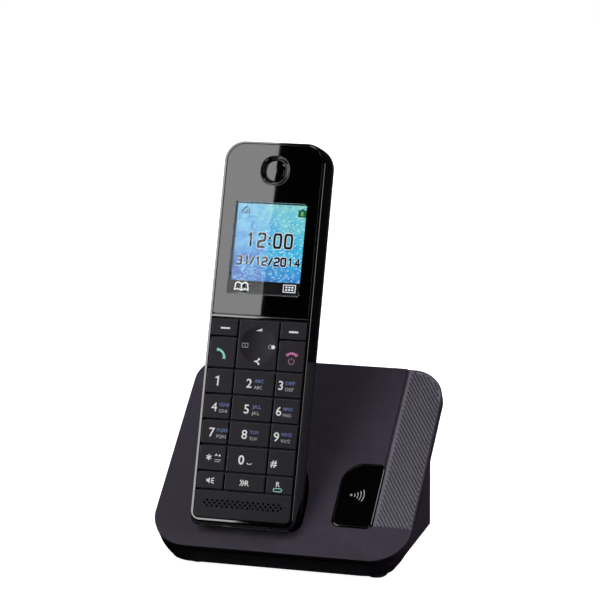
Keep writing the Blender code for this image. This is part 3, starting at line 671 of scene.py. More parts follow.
class Piece:
    """Meshes of one piece, each with its finish."""

    def __init__(self, name):
        self.name = name
        self.bm = bmesh.new()
        self.finishes = []

    def add(self, finish, *meshes):
        if finish not in self.finishes:
            self.finishes.append(finish)
        for mesh in meshes:
            start = len(self.bm.faces)
            self.bm.from_mesh(mesh)
            self.bm.faces.ensure_lookup_table()
            for face in self.bm.faces[start:]:
                face.material_index = self.finishes.index(finish)
        return self

    def put(self, where, body, slot, *nodes):
        mesh = written(self.bm, bpy.data.meshes.new(self.name))
        mesh.transform(Matrix.Scale(MM, 4) @ where)
        for finish in self.finishes:
            mesh.materials.append(FINISHES[finish])
        mesh.shade_smooth()
        mesh.set_sharp_from_angle(angle=SHARP)
        obj = placed(self.name, mesh)
        normals = obj.modifiers.new("flat faces stay flat", "WEIGHTED_NORMAL")
        normals.keep_sharp = True
        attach(obj, body)
        if nodes:
            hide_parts(*nodes)


# ---------------------------------------------------------------- base

def plate_outline(grow=0.0, steps=16):
    return rounded((-PLATE_HALF, PLATE_HALF, 0.0, PLATE_LENGTH), PLATE_RADII, steps, grow)


def rear_trim():
    return box((-60, REAR_Y, -5), (60, REAR_Y + 20, 90))


STRIP_WELL = shrunk((STRIP_LEFT, PLATE_HALF, STRIP_BOTTOM, PLATE_LENGTH), STRIP_RIM, STRIP_RIM)
WELL_RADIUS, WELL_DEPTH = PLATE_RADII[2] - STRIP_RIM, 1.0
DIMPLE_MARGIN = 1.3         # between the dimples and the plate's edge at its rounded corner
DIMPLE_COLUMN, DIMPLE_ROW, DIMPLE_DEPTH = 0.74, 2.24, 0.42
DIMPLE_LONG, DIMPLE_SHORT = 0.98, 0.42      # half sizes along and across the slanting rows
DIMPLE_WAY = Vector((DIMPLE_COLUMN, -DIMPLE_ROW / 2)).normalized()
DIMPLE_FIELD = (37.4, 50.3, 16.7, PLATE_LENGTH - DIMPLE_MARGIN)
CORNER_MIDDLE = Vector((PLATE_HALF - PLATE_RADII[2], PLATE_LENGTH - PLATE_RADII[2]))


def dimple_depth(x, y):
    """Depth of the dimpled surface: columns of long dimples, every second column half a row up."""
    left, right, bottom, top = DIMPLE_FIELD
    column = round((x - left) / DIMPLE_COLUMN)
    deepest = 0.0
    for col in (column - 1, column, column + 1):
        shift = DIMPLE_ROW / 2 if col % 2 else 0.0
        row = round((y - bottom - shift) / DIMPLE_ROW)
        centre_x = left + col * DIMPLE_COLUMN
        centre_y = bottom + shift + row * DIMPLE_ROW
        if not (left <= centre_x <= right and bottom <= centre_y <= top):
            continue
        from_corner = Vector((centre_x, centre_y)) - CORNER_MIDDLE
        if min(from_corner) > 0 and from_corner.length > PLATE_RADII[2] - DIMPLE_MARGIN:
            continue
        away = Vector((x - centre_x, y - centre_y))
        along, across = away.dot(DIMPLE_WAY) / DIMPLE_LONG, away.cross(DIMPLE_WAY) / DIMPLE_SHORT
        share = min(math.hypot(along, across), 1.0)
        deepest = max(deepest, DIMPLE_DEPTH * (1 - share ** 2) ** 0.8)
    return deepest


def dimpled_sheet():
    """Thin slab with the dimples in its top, which fills the well in the plate."""
    left, right, bottom, top = STRIP_WELL
    columns, rows = 120, 470
    bm = bmesh.new()
    grid = []
    for i in range(columns + 1):
        x = left + (right - left) * i / columns
        past = max(x - (right - WELL_RADIUS), 0.0)
        column_top = top - WELL_RADIUS + math.sqrt(max(WELL_RADIUS ** 2 - past ** 2, 0.0))
        verts = []
        for j in range(rows + 1):
            y = bottom + (column_top - bottom) * j / rows
            verts.append(bm.verts.new((x, y, -STRIP_STEP - dimple_depth(x, y))))
        grid.append(verts)
    for a, b in zip(grid, grid[1:]):
        for j in range(rows):
            bm.faces.new((a[j], b[j], b[j + 1], a[j + 1]))
    rim = [verts[0] for verts in grid] + grid[-1][1:] + [verts[-1] for verts in reversed(grid[:-1])]
    rim += list(reversed(grid[0][1:-1]))
    low = [bm.verts.new((v.co.x, v.co.y, -WELL_DEPTH)) for v in rim]
    for i in range(len(rim)):
        j = (i + 1) % len(rim)
        bm.faces.new((rim[j], rim[i], low[i], low[j]))
    bm.faces.new(low)
    return outward(bm)


def pocket_cutter(grow=0.0):
    """Body of the cradle's pocket, which rounds off at the back as the handset does."""
    sections = []
    for step in range(9):
        share = math.sin(math.pi / 2 * (8 - step) / 8)
        inset = (REAR_INSET - 0.7) * (1 - math.sqrt(max(1 - share ** 2, 0.0)))
        sections.append((POCKET_HALF - inset, -(REAR_START + (POCKET_BACK - REAR_START) * share + grow)))
    sections.append((POCKET_HALF, 12.0))
    rings = [lifted(rounded((-half, half, POCKET_FLOOR, POCKET_TOP), POCKET_RADII, 8, grow), z)
             for half, z in sections]
    return moved(loft(rings), HANDSET_ON_PLATE)


def at_pocket_mouth(point):
    on_handset = HANDSET_ON_PLATE.inverted() @ point
    near = (abs(on_handset.x) < POCKET_HALF + 0.1 and on_handset.y < POCKET_TOP
            and -on_handset.z < POCKET_BACK + 0.1)
    return abs(point.z) < 0.01 and near and point.x < BUTTON[0] - 1.0


def base_cover():
    cover = prism(plate_outline(), -COVER_THICKNESS, 0.0)
    below = box((-60, -20, -90), (60, 120, -COVER_THICKNESS / 2))
    shell = combined(pocket_cutter(POCKET_WALL), [below], "INTERSECT")
    cover = join(cover, shell)
    step = [(STRIP_RAMP - 0.05, 0.02), (STRIP_LEFT, -STRIP_STEP), (60.0, -STRIP_STEP), (60.0, 3.0),
            (STRIP_RAMP - 0.05, 3.0)]
    upright = Matrix(((1, 0, 0, 0), (0, 0, 1, 0), (0, 1, 0, 0), (0, 0, 0, 1)))
    step_cutter = moved(prism(step, STRIP_BOTTOM, 110.0), upright)
    step_cutter.flip_normals()
    contacts = [moved(box((side * CONTACT_X - 1.8, -3.0, -CONTACT_DEPTH - 1.3),
                          (side * CONTACT_X + 1.8, 1.0, -CONTACT_DEPTH + 1.3)), HANDSET_ON_PLATE)
                for side in (-1, 1)]
    button_hole = prism(rounded(BUTTON, BUTTON_RADII, 10, 0.35), -4.0, 2.0)
    cover = cut(cover, pocket_cutter(), step_cutter, button_hole,
                moved(rear_trim(), BASE_ON_PLATE), *contacts)
    sill = box((-18.0, POCKET_FLOOR - 0.3, -6.6), (18.0, POCKET_FLOOR + 0.26, -5.4))
    cover = join(cover, moved(sill, HANDSET_ON_PLATE))
    cover = bevelled(cover, 1.2, 6, at_pocket_mouth)
    cover = bevelled(cover, 0.6, 4, above(-STRIP_STEP - 0.01))
    groove = box((STRIP_RAMP, STRIP_BOTTOM, -GROOVE), (STRIP_RAMP + GROOVE, PLATE_LENGTH - GROOVE, 1.0))
    well = rounded(STRIP_WELL, (0.01, 0.01, WELL_RADIUS, 0.01), 16)
    cover = cut(cover, prism(well, -WELL_DEPTH, 2.0), groove)
    Piece("base_cover").add("plate_plastic", cover).add("strip_plastic", dimpled_sheet()).put(
        PLATE, "base", "plate_plastic", "base_top_cover")


SIDE_Y = (-19.0, -16.0, -13.0, -8.0, 0.0, REAR_Y + 2.0)     # places along the body's side, front to back
HEAD_Y, HEAD_REACH_Y = -22.2, 11.1          # the body's front corner where it meets the plate
HEAD_X, HEAD_REACH_X = PLATE_HALF - PLATE_RADII[0], PLATE_RADII[0] - 0.8
FLARE_LENGTH = 14.2                         # behind that corner, the side narrows to the body's own width


def hull_ring(share, inset=0.0):
    """Outline of the base's body, from its foot (share 0) to the plate's underside (share 1)."""
    radius = BODY_RADIUS - inset
    foot = arc(BODY_HALF - BODY_RADIUS, BODY_FRONT_Y + BODY_RADIUS, radius, radius, -90, 0, 14)
    foot += [(BODY_HALF - inset, y) for y in SIDE_Y]
    head = arc(HEAD_X, HEAD_Y, HEAD_REACH_X, HEAD_REACH_Y, -90, 0, 14)
    for y in SIDE_Y:
        along = min(max((y - HEAD_Y) / FLARE_LENGTH, 0.0), 1.0)
        flare = (HEAD_X + HEAD_REACH_X - BODY_HALF) * (1 + math.cos(math.pi * along)) / 2
        head.append((BODY_HALF + flare, y))
    under = PLATE_ON_BASE @ Vector((0.0, 0.0, -2.5))
    slope = PLATE_UP.z / PLATE_UP.y
    lateral = 1 - (1 - share) ** 2.1
    foot_z = BODY_BOTTOM + FOOT_ROUNDING
    half = []
    for (x0, y0), (x1, y1) in zip(foot, head):
        top = under.z + slope * (y1 - under.y)
        half.append((x0 + (x1 - x0) * lateral, y0 + (y1 - y0) * lateral, foot_z + (top - foot_z) * share))
    return half + [(-x, y, z) for x, y, z in reversed(half)]


def base_case():
    foot_rings = []
    for degrees in (0, 22, 45, 68):
        inset = FOOT_ROUNDING * (1 - math.sin(math.radians(degrees)))
        height = FOOT_ROUNDING * (1 - math.cos(math.radians(degrees)))
        foot_rings.append([(x, y, BODY_BOTTOM + height) for x, y, _ in hull_ring(0.0, inset)])
    rings = foot_rings + [hull_ring(i / 8) for i in range(9)]
    flange_sections = ((-1.7, 0.55), (-1.9, 0.25), (-2.2, 0.12), (-5.0, 0.16), (-5.6, 0.32), (-6.0, 0.62),
                       (-6.25, 1.1), (-6.35, 1.8))
    flange = loft([lifted(plate_outline(-inset), z) for z, inset in reversed(flange_sections)])
    case = join(loft(rings), moved(flange, PLATE_ON_BASE))
    inside = rounded((-BODY_HALF + 2.2, BODY_HALF - 2.2, BODY_FRONT_Y + 2.2, REAR_Y - 2.2), (10, 10, 2, 2))
    wells = []
    for x, y in SCREWS:
        wells += [disc(x, y, 2.9, 0.0, 3.1), disc(x, y, 1.7, 0.5, 6.0)]
    windows = []
    for node in ("line_jack", "dc_jack"):
        low, high = [BASE.inverted() @ (corner / MM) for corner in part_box(node)]
        windows.append(box(low - Vector((0.3, -8.0, 0.3)), high + Vector((0.3, 6.0, 0.3))))
    case = cut(case, prism(inside, 3.9, 90.0), rear_trim(), *wells, *windows)
    case = bevelled(case, 0.35, 3, lambda point: point.y > REAR_Y - 0.01)
    Piece("base_housing").add("case_plastic", case).put(BASE, "base", "case_plastic", "base_bottom_case")


def locator_button():
    button = bevelled(prism(rounded(BUTTON, BUTTON_RADII, 12), -2.4, 0.15), 0.55, 5, above(0.1))
    low, high = 0.145, 0.175
    x, y = 24.7, 29.0
    icon = [disc(x, y, 0.5, low, high)]
    for reach, half_angle in ((1.9, 24), (3.1, 26), (4.3, 28), (5.5, 29)):
        icon.append(ribbon(arc(x - 0.4, y, reach, reach, -half_angle, half_angle, 10), 0.36, low, high))
    Piece("locator_button_cap").add("gloss_button", button).add("ink_grey", *icon).put(
        PLATE, "locator_button", "gloss_button", "locator_button")


# ---------------------------------------------------------------- handset

def handset_ring(depth, inset, shrink=0.0, foot=0.0):
    end = END_INSET_SHARE * (inset - FACE_INSET) + shrink
    half = HALF_WIDTH - inset - shrink
    outline = rounded((-half, half, HANDSET_BOTTOM + end + foot, HANDSET_TOP - end), (3.6, 3.6, 8.0, 8.0), 14)
    return lifted(outline, -depth)


def front_case():
    sections = ((0.0, 0.76, 1.15), (0.04, 0.6, 0.95), (0.13, 0.46, 0.75), (0.35, 0.36, 0.5), (0.8, 0.3, 0.25),
                (1.4, 0.26, 0.08), (3.0, 0.17, 0.0), (6.0, 0.05, 0.0), (PARTING_DEPTH - 0.25, 0.0, 0.0),
                (PARTING_DEPTH, 0.2, 0.0))
    case = loft([handset_ring(depth, inset, 0.0, foot) for depth, inset, foot in sections])
    cavity = rounded((-19.6, 19.6, 2.8, 149.95), (2.4, 2.4, 7.4, 7.4), 14)
    case = cut(case, prism(cavity, -12.0, 2.0))
    ledge = rounded((-20.0, 20.0, ROW_EDGES[-1] + 0.3, 150.15), (0.5, 0.5, 7.6, 7.6), 14)
    bar = rounded((-19.9, 19.9, ROW_EDGES[-1] + 0.3, WINDOW_BOTTOM - 0.3), 0.2, 2)
    bar_mesh = bevelled(prism(bar, -2.5, -0.05), 0.25, 3, above(-0.1))
    left, right, bottom, top = LCD_OPENING
    case = join(case, prism(ledge, -2.7, -1.9), bar_mesh)
    case = cut(case, box((left, bottom, -5.0), (right, top, 1.0)),
               box((EARPIECE_X - 2.5, EARPIECE_Y - 4.2, -5.0), (EARPIECE_X + 2.5, EARPIECE_Y + 4.2, 1.0)))
    Piece("handset_front").add("handset_gloss", case).put(
        HANDSET, "handset", "handset_gloss", "handset_front_case")


def rear_section(share):
    """Depth and inset of the back, which rounds off as a quarter of an ellipse."""
    depth = REAR_START + (REAR_DEPTH - REAR_START) * share
    return depth, REAR_INSET * (1 - math.sqrt(max(1 - share ** 2, 0.0)))


def rear_case():
    shares = [math.sin(math.pi / 2 * i / 12) for i in range(13)]
    sections = [(REAR_START, 0.2), (REAR_START + 0.2, 0.0)] + [rear_section(s) for s in shares[1:]]
    case = loft([handset_ring(*section) for section in sections])
    cavity = [(8.0, 0.0), (13.0, 0.3), (15.6, 1.6), (17.6, 4.0)]
    case = cut(case, loft([handset_ring(depth, inset, 1.5) for depth, inset in cavity]))
    case = join(case, box((-12.1, 33.8, -18.6), (12.1, 86.2, -7.0)))
    slots = []
    for i in range(5):
        y = RINGER_Y + (i - 2) * 2.4
        slots.append(prism(rounded((-5.5, 5.5, y - 0.6, y + 0.6), 0.59, 6), -22.0, -16.3))
    recesses = [box((side * CONTACT_X - 3.1, -1.0, -CONTACT_DEPTH - 2.0),
                    (side * CONTACT_X + 3.1, 2.2, -CONTACT_DEPTH + 2.0)) for side in (-1, 1)]
    case = cut(case, box((-10.9, 35.0, -22.0), (10.9, 85.0, -7.65)),
               prism(rounded(DOOR, 2.5, 8, 0.3), -22.0, DOOR_INNER + 0.3), gathered(slots), *recesses)
    case = bevelled(case, 0.25, 2, lambda point: point.z < -REAR_DEPTH + 0.01)
    Piece("handset_back").add("handset_satin", case).put(
        HANDSET, "handset", "handset_gloss", "handset_rear_case")


def battery_door():
    door = bevelled(prism(rounded(DOOR, 2.5, 8), -REAR_DEPTH, DOOR_INNER), 0.35, 3,
                    lambda point: point.z < -REAR_DEPTH + 0.05)
    grooves = []
    for i in range(4):
        y = DOOR[3] - 6.0 - 1.8 * i
        groove = rounded(around(0.0, y, 6.5, 0.4), 0.39, 6)
        grooves.append(prism(groove, -REAR_DEPTH - 1, -REAR_DEPTH + 0.4))
    door = cut(door, gathered(grooves))
    Piece("battery_door_panel").add("handset_satin", door).put(
        HANDSET, "battery_door", "handset_gloss", "battery_door")


def near_ear(point):
    away = Vector((point.x - EARPIECE_X, point.y - EARPIECE_Y)).length
    return point.y > LCD_OPENING[3] + 2 and point.z > WINDOW_FRONT - 0.01 and away < EARPIECE_HALF + 1.5


def at_window_edge(point):
    corner = abs(point.x) > WINDOW_HALF - 7.5 and point.y > WINDOW_TOP - 7.5
    side = abs(point.x) > WINDOW_HALF - 0.7
    end = point.y > WINDOW_TOP - 0.1 or point.y < WINDOW_BOTTOM + 0.7
    return point.z > WINDOW_FRONT - 0.01 and (corner or side or end)


def window():
    outline = rounded((-WINDOW_HALF, WINDOW_HALF, WINDOW_BOTTOM, WINDOW_TOP), (0.6, 0.6, 7.1, 7.1), 14)
    ear = rounded(around(EARPIECE_X, EARPIECE_Y, EARPIECE_HALF, EARPIECE_HALF), 5.0, 16)
    slab = cut(prism(outline, WINDOW_REAR, WINDOW_FRONT), prism(rounded(LCD_OPENING, 0.9, 6), -3.0, 1.0),
               prism(ear, -3.0, 1.0))
    slab = bevelled(bevelled(slab, 0.35, 5, near_ear), 0.18, 3, at_window_edge)
    Piece("display_window_sheet").add("window_black", slab).put(
        HANDSET, "handset", "window_clear", "display_window")
    lens = prism(rounded(LCD_OPENING, 0.9, 6, -0.02), -0.3, WINDOW_FRONT)
    Piece("display_lens").add("window_clear", lens).put(HANDSET, "handset", "window_clear")


EAR_RINGS = (               # half width, half height, squareness and height, from the rim to the middle
    (4.97, 5.0, 3.2, -0.52), (4.88, 4.94, 3.1, -0.58), (4.25, 4.6, 2.5, -1.2), (4.12, 4.5, 2.4, -1.22),
    (3.55, 4.05, 2.1, -0.68), (3.45, 3.95, 2.1, -0.61), (3.25, 3.8, 2.1, -0.585), (3.0, 3.6, 2.0, -0.58),
    (2.0, 2.4, 2.0, -0.572), (1.0, 1.2, 2.0, -0.57), (0.3, 0.4, 2.0, -0.57),
)


def earpiece():
    """Black bowl round a glossy oval, with the sound's way out between them."""
    half = EARPIECE_HALF - 0.3
    outer = rounded(around(EARPIECE_X, EARPIECE_Y, half, half), 4.7, 11)
    rings = [lifted(outer, -1.6), lifted(outer, -0.5)]
    for half_x, half_y, power, z in EAR_RINGS:
        ring = []
        for point in outer:
            away = Vector(point) - Vector((EARPIECE_X, EARPIECE_Y))
            way = math.atan2(away.y, away.x)
            c, s = abs(math.cos(way)) / half_x, abs(math.sin(way)) / half_y
            reach = (c ** power + s ** power) ** (-1 / power)
            ring.append((EARPIECE_X + reach * math.cos(way), EARPIECE_Y + reach * math.sin(way), z))
        rings.append(ring)
    Piece("earpiece_insert").add("window_black", loft(rings)).put(
        HANDSET, "handset", "handset_gloss", "earpiece_grille")


# ---------------------------------------------------------------- display picture

GLYPHS = {                  # strokes in a unit box; a closed stroke ends where it starts
    "0": (((0.0, 0.15), (0.15, 0.0), (0.85, 0.0), (1.0, 0.15), (1.0, 0.85), (0.85, 1.0), (0.15, 1.0),
           (0.0, 0.85), (0.0, 0.15)),),
    "1": (((0.3, 0.82), (0.65, 1.0), (0.65, 0.0)),),
    "2": (((0.0, 0.86), (0.16, 1.0), (0.84, 1.0), (1.0, 0.86), (1.0, 0.62), (0.86, 0.5), (0.14, 0.42),
           (0.0, 0.3), (0.0, 0.0), (1.0, 0.0)),),
    "3": (((0.0, 1.0), (0.84, 1.0), (1.0, 0.86), (1.0, 0.64), (0.84, 0.52), (0.3, 0.52)),
          ((0.84, 0.52), (1.0, 0.4), (1.0, 0.14), (0.84, 0.0), (0.0, 0.0))),
    "4": (((0.72, 0.0), (0.72, 1.0), (0.0, 0.3), (1.05, 0.3)),),
    "/": (((0.0, 0.0), (0.7, 1.0)),),
    ":": (((0.2, 0.62), (0.2, 0.76)), ((0.2, 0.18), (0.2, 0.32))),
}


def strokes(text, left, bottom, size, pitches, width, halo):
    """Display figures as dark strokes, with pale wider ones under them."""
    dark, pale = [], []
    x = left
    for character, pitch in zip(text, pitches):
        for line in GLYPHS[character]:
            closed = line[0] == line[-1]
            points = [(x + px * size[0], bottom + py * size[1]) for px, py in (line[:-1] if closed else line)]
            dark.append(ribbon(points, width, PICTURE_Z + 0.05, PICTURE_Z + 0.07, closed))
            pale.append(ribbon(points, width + halo, PICTURE_Z + 0.02, PICTURE_Z + 0.04, closed))
        x += pitch
    return dark, pale


def display_panel():
    left, right, bottom, top = PICTURE
    low, high = PICTURE_Z - 0.1, PICTURE_Z
    ink_low, ink_high = high + 0.02, high + 0.05

    def drawn(points, width, closed=False):
        return ribbon(points, width, ink_low, ink_high, closed)

    def block(sides):
        return box((sides[0], sides[2], ink_low), (sides[1], sides[3], ink_high))

    piece = Piece("display_panel")
    piece.add("lcd_frame", bevelled(box((-17.35, 85.8, -5.3), (17.35, 131.3, low)), 0.2, 2))
    piece.add("lcd_picture", box((left, PICTURE_BAR_TOP, low), (right, top, high)))
    piece.add("lcd_bar", box((left, bottom, low), (right, PICTURE_BAR_TOP, high)))
    time_dark, time_pale = strokes("12:00", -9.3, 109.6, (2.65, 5.2), (4.85, 4.0, 2.45, 4.4, 4.3), 1.0, 0.4)
    pitches = (2.9, 2.6, 1.9, 2.9, 2.7, 2.25, 2.65, 2.65, 3.1, 3.0)
    date_dark, date_pale = strokes("31/12/2014", -12.4, 102.5, (1.75, 3.0), pitches, 0.8, 0.36)
    piece.add("lcd_white", *time_pale, *date_pale)
    piece.add("lcd_dark", *time_dark, *date_dark)
    battery = prism(rounded((10.6, 13.8, 121.9, 124.7), 0.25, 3), ink_low, ink_high)
    piece.add("lcd_green", battery, block((11.6, 12.8, 124.7, 125.2)))
    piece.add("lcd_light_green", box((11.7, 122.5, ink_high), (12.7, 124.1, ink_high + 0.02)))
    bars = [block((-12.0 + 0.8 * i, -11.5 + 0.8 * i, 122.3, 123.0 + 0.6 * i)) for i in range(4)]
    piece.add("lcd_grey", *bars)
    piece.add("lcd_slate", drawn([(-12.2, 123.0), (-11.0, 125.0), (-9.9, 125.0)], 0.45))
    cover = [(-12.4, 92.4), (-12.0, 94.9), (-11.0, 95.4), (-9.6, 94.7), (-8.2, 95.4), (-7.2, 94.9),
             (-6.8, 92.4), (-8.2, 92.8), (-9.6, 92.2), (-11.0, 92.8)]
    book = [drawn(cover, 0.46, True), drawn([(-9.6, 92.2), (-9.6, 94.7)], 0.46)]
    grid = [drawn([(7.4, 92.4), (12.2, 92.4), (12.2, 95.2), (7.4, 95.2)], 0.3, True)]
    for column in range(3):
        for row in range(2):
            x, y = 8.2 + 1.2 * column, 93.0 + 1.0 * row
            grid.append(block((x, x + 0.8, y, y + 0.6)))
    piece.add("lcd_white", *book, *grid)
    piece.put(HANDSET, "handset", "display_panel", "display_module")


# ---------------------------------------------------------------- keys and their legends

LETTERS = {"2": "ABC", "3": "DEF", "4": "GHI", "5": "JKL", "6": "MNO", "7": "PQRS", "8": "TUV", "9": "WXYZ"}
DIGIT_LEFT = (-16.2, -3.05, 9.85)
LETTER_LEFT = (-13.1, 0.1, 12.7)


def line(points, width, closed=False):
    return ribbon(points, width, INK_LOW, INK_HIGH, closed)


def fill(outline):
    return prism(outline, INK_LOW, INK_HIGH)


def receiver(x, y, size, turn):
    """Telephone receiver: a bowed handle with a pad at each end."""
    points = arc(0.0, -0.55 * size, size, size * 0.8, 150, 30, 12)
    c, s = math.cos(turn), math.sin(turn)
    turned = [(x + px * c - py * s, y + px * s + py * c) for px, py in points]
    pads = []
    for (ax, ay), (bx, by) in ((turned[0], turned[1]), (turned[-1], turned[-2])):
        way = Vector((bx - ax, by - ay)).normalized() * 0.75
        pads.append(line([(ax - way.x * 0.2, ay - way.y * 0.2), (ax + way.x, ay + way.y)], 1.15))
    return [line(turned, 0.85), *pads]


def digit_legend(name, column, bottom):
    left = DIGIT_LEFT[column]
    if name == "1":
        flag = [(left + 0.55, bottom + 3.0), (left + 1.6, bottom + 3.5), (left + 1.6, bottom)]
        return {"ink_white": [line(flag, 0.58)]}
    legend = {"ink_white": [letters(name, left, bottom, 3.6, None, 0.0 if name == "4" else 0.010)]}
    if name in LETTERS:
        x = LETTER_LEFT[column]
        text = LETTERS[name]
        wide = 3.3 if len(text) == 3 else 3.9
        legend["ink_pale"] = [letters(text, x, bottom - 0.35, 1.3, wide, 0.0)]
        legend["ink_blue"] = [letters(text, x, bottom + 2.1, 1.3, wide + 0.5, 0.022)]
    return legend


def zero_legend(y):
    curl = line([(0.2, y - 1.0), (0.6, y - 1.4), (1.7, y - 1.4), (2.1, y - 1.0)], 0.3)
    return {"ink_white": [letters("0", -3.4, y - 1.6, 3.6, None, 0.022), curl]}


def hash_legend(y):
    return {"ink_white": [letters("#", 9.6, y - 1.6, 2.7, 2.6, 0.02)]}


def talk_legend(y):
    return {"ink_teal": receiver(-14.3, y - 0.4, 2.6, math.radians(-48))}


def end_legend(y):
    power = arc(14.1, y - 1.8, 1.15, 1.15, 125, 415, 18)
    return {"ink_pink": receiver(14.1, y + 0.7, 2.3, 0.0),
            "ink_plum": [line(power, 0.34), line([(14.1, y - 1.3), (14.1, y - 0.3)], 0.34)]}


def star_legend(y):
    arms = []
    for angle in (30, 90, 150):
        c, s = 1.15 * math.cos(math.radians(angle)), 1.15 * math.sin(math.radians(angle))
        arms.append(line([(-15.3 - c, y + 0.2 - s), (-15.3 + c, y + 0.2 + s)], 0.42))
    bell = [line([(-12.9, y + 0.9), (-12.4, y + 1.5), (-11.9, y + 0.9)], 0.3),
            fill(oval(-11.0, y + 1.1, 0.4, 0.4))]
    ringer = [line([(-12.9, y - drop), (end, y - drop)], 0.35) for drop, end in ((0.6, -10.3), (1.3, -10.8))]
    return {"ink_white": arms + bell, "ink_grey": ringer}


def speaker_legend(y):
    cone = fill([(-15.4, y - 0.5), (-14.8, y - 0.5), (-14.1, y - 1.2), (-14.1, y + 1.2), (-14.8, y + 0.5),
                 (-15.4, y + 0.5)])
    rays = [line([(-13.6, y + 0.5 * i), (-12.4, y + 1.1 * i)], 0.38) for i in (-1, 0, 1)]
    return {"ink_white": [cone, *rays]}


def redial_legend(y):
    chevrons = [line([(x, y + 1.1), (x + 0.8, y), (x, y - 1.1)], 0.4) for x in (-1.9, -1.0)]
    return {"ink_white": chevrons + [letters("R", 0.1, y - 1.1, 2.2, None, 0.015)]}


def recall_legend(y):
    pill = rounded((11.7, 15.0, y - 2.3, y - 1.1), 0.55, 5)
    return {"ink_white": [letters("R", 12.6, y - 0.4, 1.9, None, 0.02)], "ink_teal": [line(pill, 0.32, True)]}


def legends(name, column, y):
    """Print on a key whose middle is at y: meshes by finish."""
    if name in SYMBOLS:
        return SYMBOLS[name](y)
    if name.isdigit():
        return digit_legend(name, column, y - 1.8)
    centre = -13.6 if name == "soft_left" else 13.95
    return {"ink_white": [line([(centre - 1.85, y - 0.3), (centre + 1.85, y - 0.3)], 0.66)]}


SYMBOLS = {"0": zero_legend, "star": star_legend, "hash": hash_legend, "speaker": speaker_legend,
           "redial": redial_legend, "recall": recall_legend, "talk": talk_legend, "end": end_legend}


def key_cells():
    """Name, column and sides of each key's cell."""
    for row, names in enumerate(KEY_NAMES):
        for column, name in enumerate(names):
            if name:
                yield name, column, (*COLUMN_EDGES[column:column + 2], *ROW_EDGES[row:row + 2])


def key_tile(sides, bottom):
    return bevelled(prism(rounded(sides, 0.6, 5), bottom, KEY_TOP), 0.38, 5, above(KEY_TOP - 0.01))


def key_caps():
    for name, column, cell in key_cells():
        node = "key_" + name
        tile = key_tile(shrunk(cell, KEY_GAP / 2, KEY_GAP / 2), KEY_BOTTOM)
        piece = Piece(node + "_cap").add("key_plastic", tile)
        if name == "5":
            nib = ribbon([(-5.9, 45.4), (-5.2, 46.1)], 0.45, KEY_TOP - 0.05, KEY_TOP + 0.12)
            piece.add("key_plastic", nib)
        for finish, meshes in legends(name, column, middle(cell[2:])).items():
            piece.add(finish, *meshes)
        piece.put(HANDSET, node if node in frame["bodies"] else "handset", "key_plastic", node)


def keypad_membrane():
    """Rubber sheet with a raised pad under each key."""
    sheet = prism(rounded((-18.9, 18.9, 12.8, 81.8), 1.0, 4), -4.2, -2.9)
    pads = [prism(rounded(shrunk(cell, 1.4, 1.2), 0.8, 4), -3.2, -2.7) for _, _, cell in key_cells()]
    Piece("keypad_membrane_sheet").add("key_rubber", join(sheet, gathered(pads))).put(
        HANDSET, "handset", "key_rubber", "keypad_membrane")


def dish(x, y):
    """How far the navigation key's face lies below its rim."""
    share = math.hypot(x, y - NAV_MIDDLE_Y) / DISH_RADIUS
    return DISH_DEPTH * (1 - share ** 2) if share < 1 else 0.0


def navigation_key():
    y = NAV_MIDDLE_Y
    half_x, half_y = COLUMN_GAP_X - KEY_GAP / 2, (ROW_EDGES[7] - ROW_EDGES[5] - KEY_GAP) / 2
    rings = [lifted(oval(0, y, DISH_RADIUS, DISH_RADIUS, 2.0, 72), KEY_TOP + 2.0)]
    for i in range(24):
        radius = DISH_RADIUS * (24 - i) / 24
        rings.append([(px, py, KEY_TOP - dish(px, py)) for px, py in oval(0, y, radius, radius, 2.0, 72)])
    cap = cut(key_tile(around(0, y, half_x, half_y), -1.7), loft(rings))
    wedge = fill([(-1.3, y + 5.5), (1.3, y + 5.5), (1.3, y + 6.6)])
    book = [line([(-6.2, y - 1.1), (-4.0, y - 1.1), (-4.0, y + 0.5), (-6.2, y + 0.5)], 0.24, True),
            line([(-5.1, y - 1.1), (-5.1, y + 0.5)], 0.24),
            line(oval(5.1, y - 0.4, 0.75, 0.75, steps=20), 0.22, True)]
    toggle = fill(oval(6.3, y - 0.4, 0.8, 0.8, steps=20))
    branch = [line([(-0.9, y - 6.3), (0.9, y - 6.3)], 0.32),
              line([(0.9, y - 5.4), (0.1, y - 6.3), (0.9, y - 7.2)], 0.32),
              fill(oval(1.0, y - 5.4, 0.42, 0.42, steps=14)), fill(oval(1.0, y - 7.2, 0.42, 0.42, steps=14)),
              fill([(-0.2, y - 5.8), (0.7, y - 6.3), (-0.2, y - 6.8)])]
    symbols, outlines = gathered([wedge, toggle, *branch]), gathered(book)
    for vertex in [*symbols.vertices, *outlines.vertices]:
        vertex.co.z -= dish(vertex.co.x, vertex.co.y)
    Piece("nav_key_cap").add("key_plastic", cap).add("ink_white", symbols).add("ink_grey", outlines).put(
        HANDSET, "nav_key", "key_plastic", "nav_key")


def lower_grille():
    sides = (-KEYPAD_HALF, KEYPAD_HALF, GRILLE_BOTTOM, ROW_EDGES[0] - KEY_GAP / 2)
    tile = prism(rounded(sides, (2.0, 2.0, 0.5, 0.5), 8), -1.6, KEY_TOP)
    tile = bevelled(tile, 0.26, 4, above(KEY_TOP - 0.01))
    pitch = 2.05
    holes = []
    for y, count in ((10.0, 15), (8.9, 16), (7.8, 15)):
        for i in range(count):
            holes.append(disc((i - (count - 1) / 2) * pitch, y, 0.5, -1.3, 1.0, 14))
    Piece("lower_grille_tile").add("key_plastic", cut(tile, gathered(holes))).put(
        HANDSET, "handset", "key_plastic", "lower_grille")


# ---------------------------------------------------------------- CAD nodes that show as they are

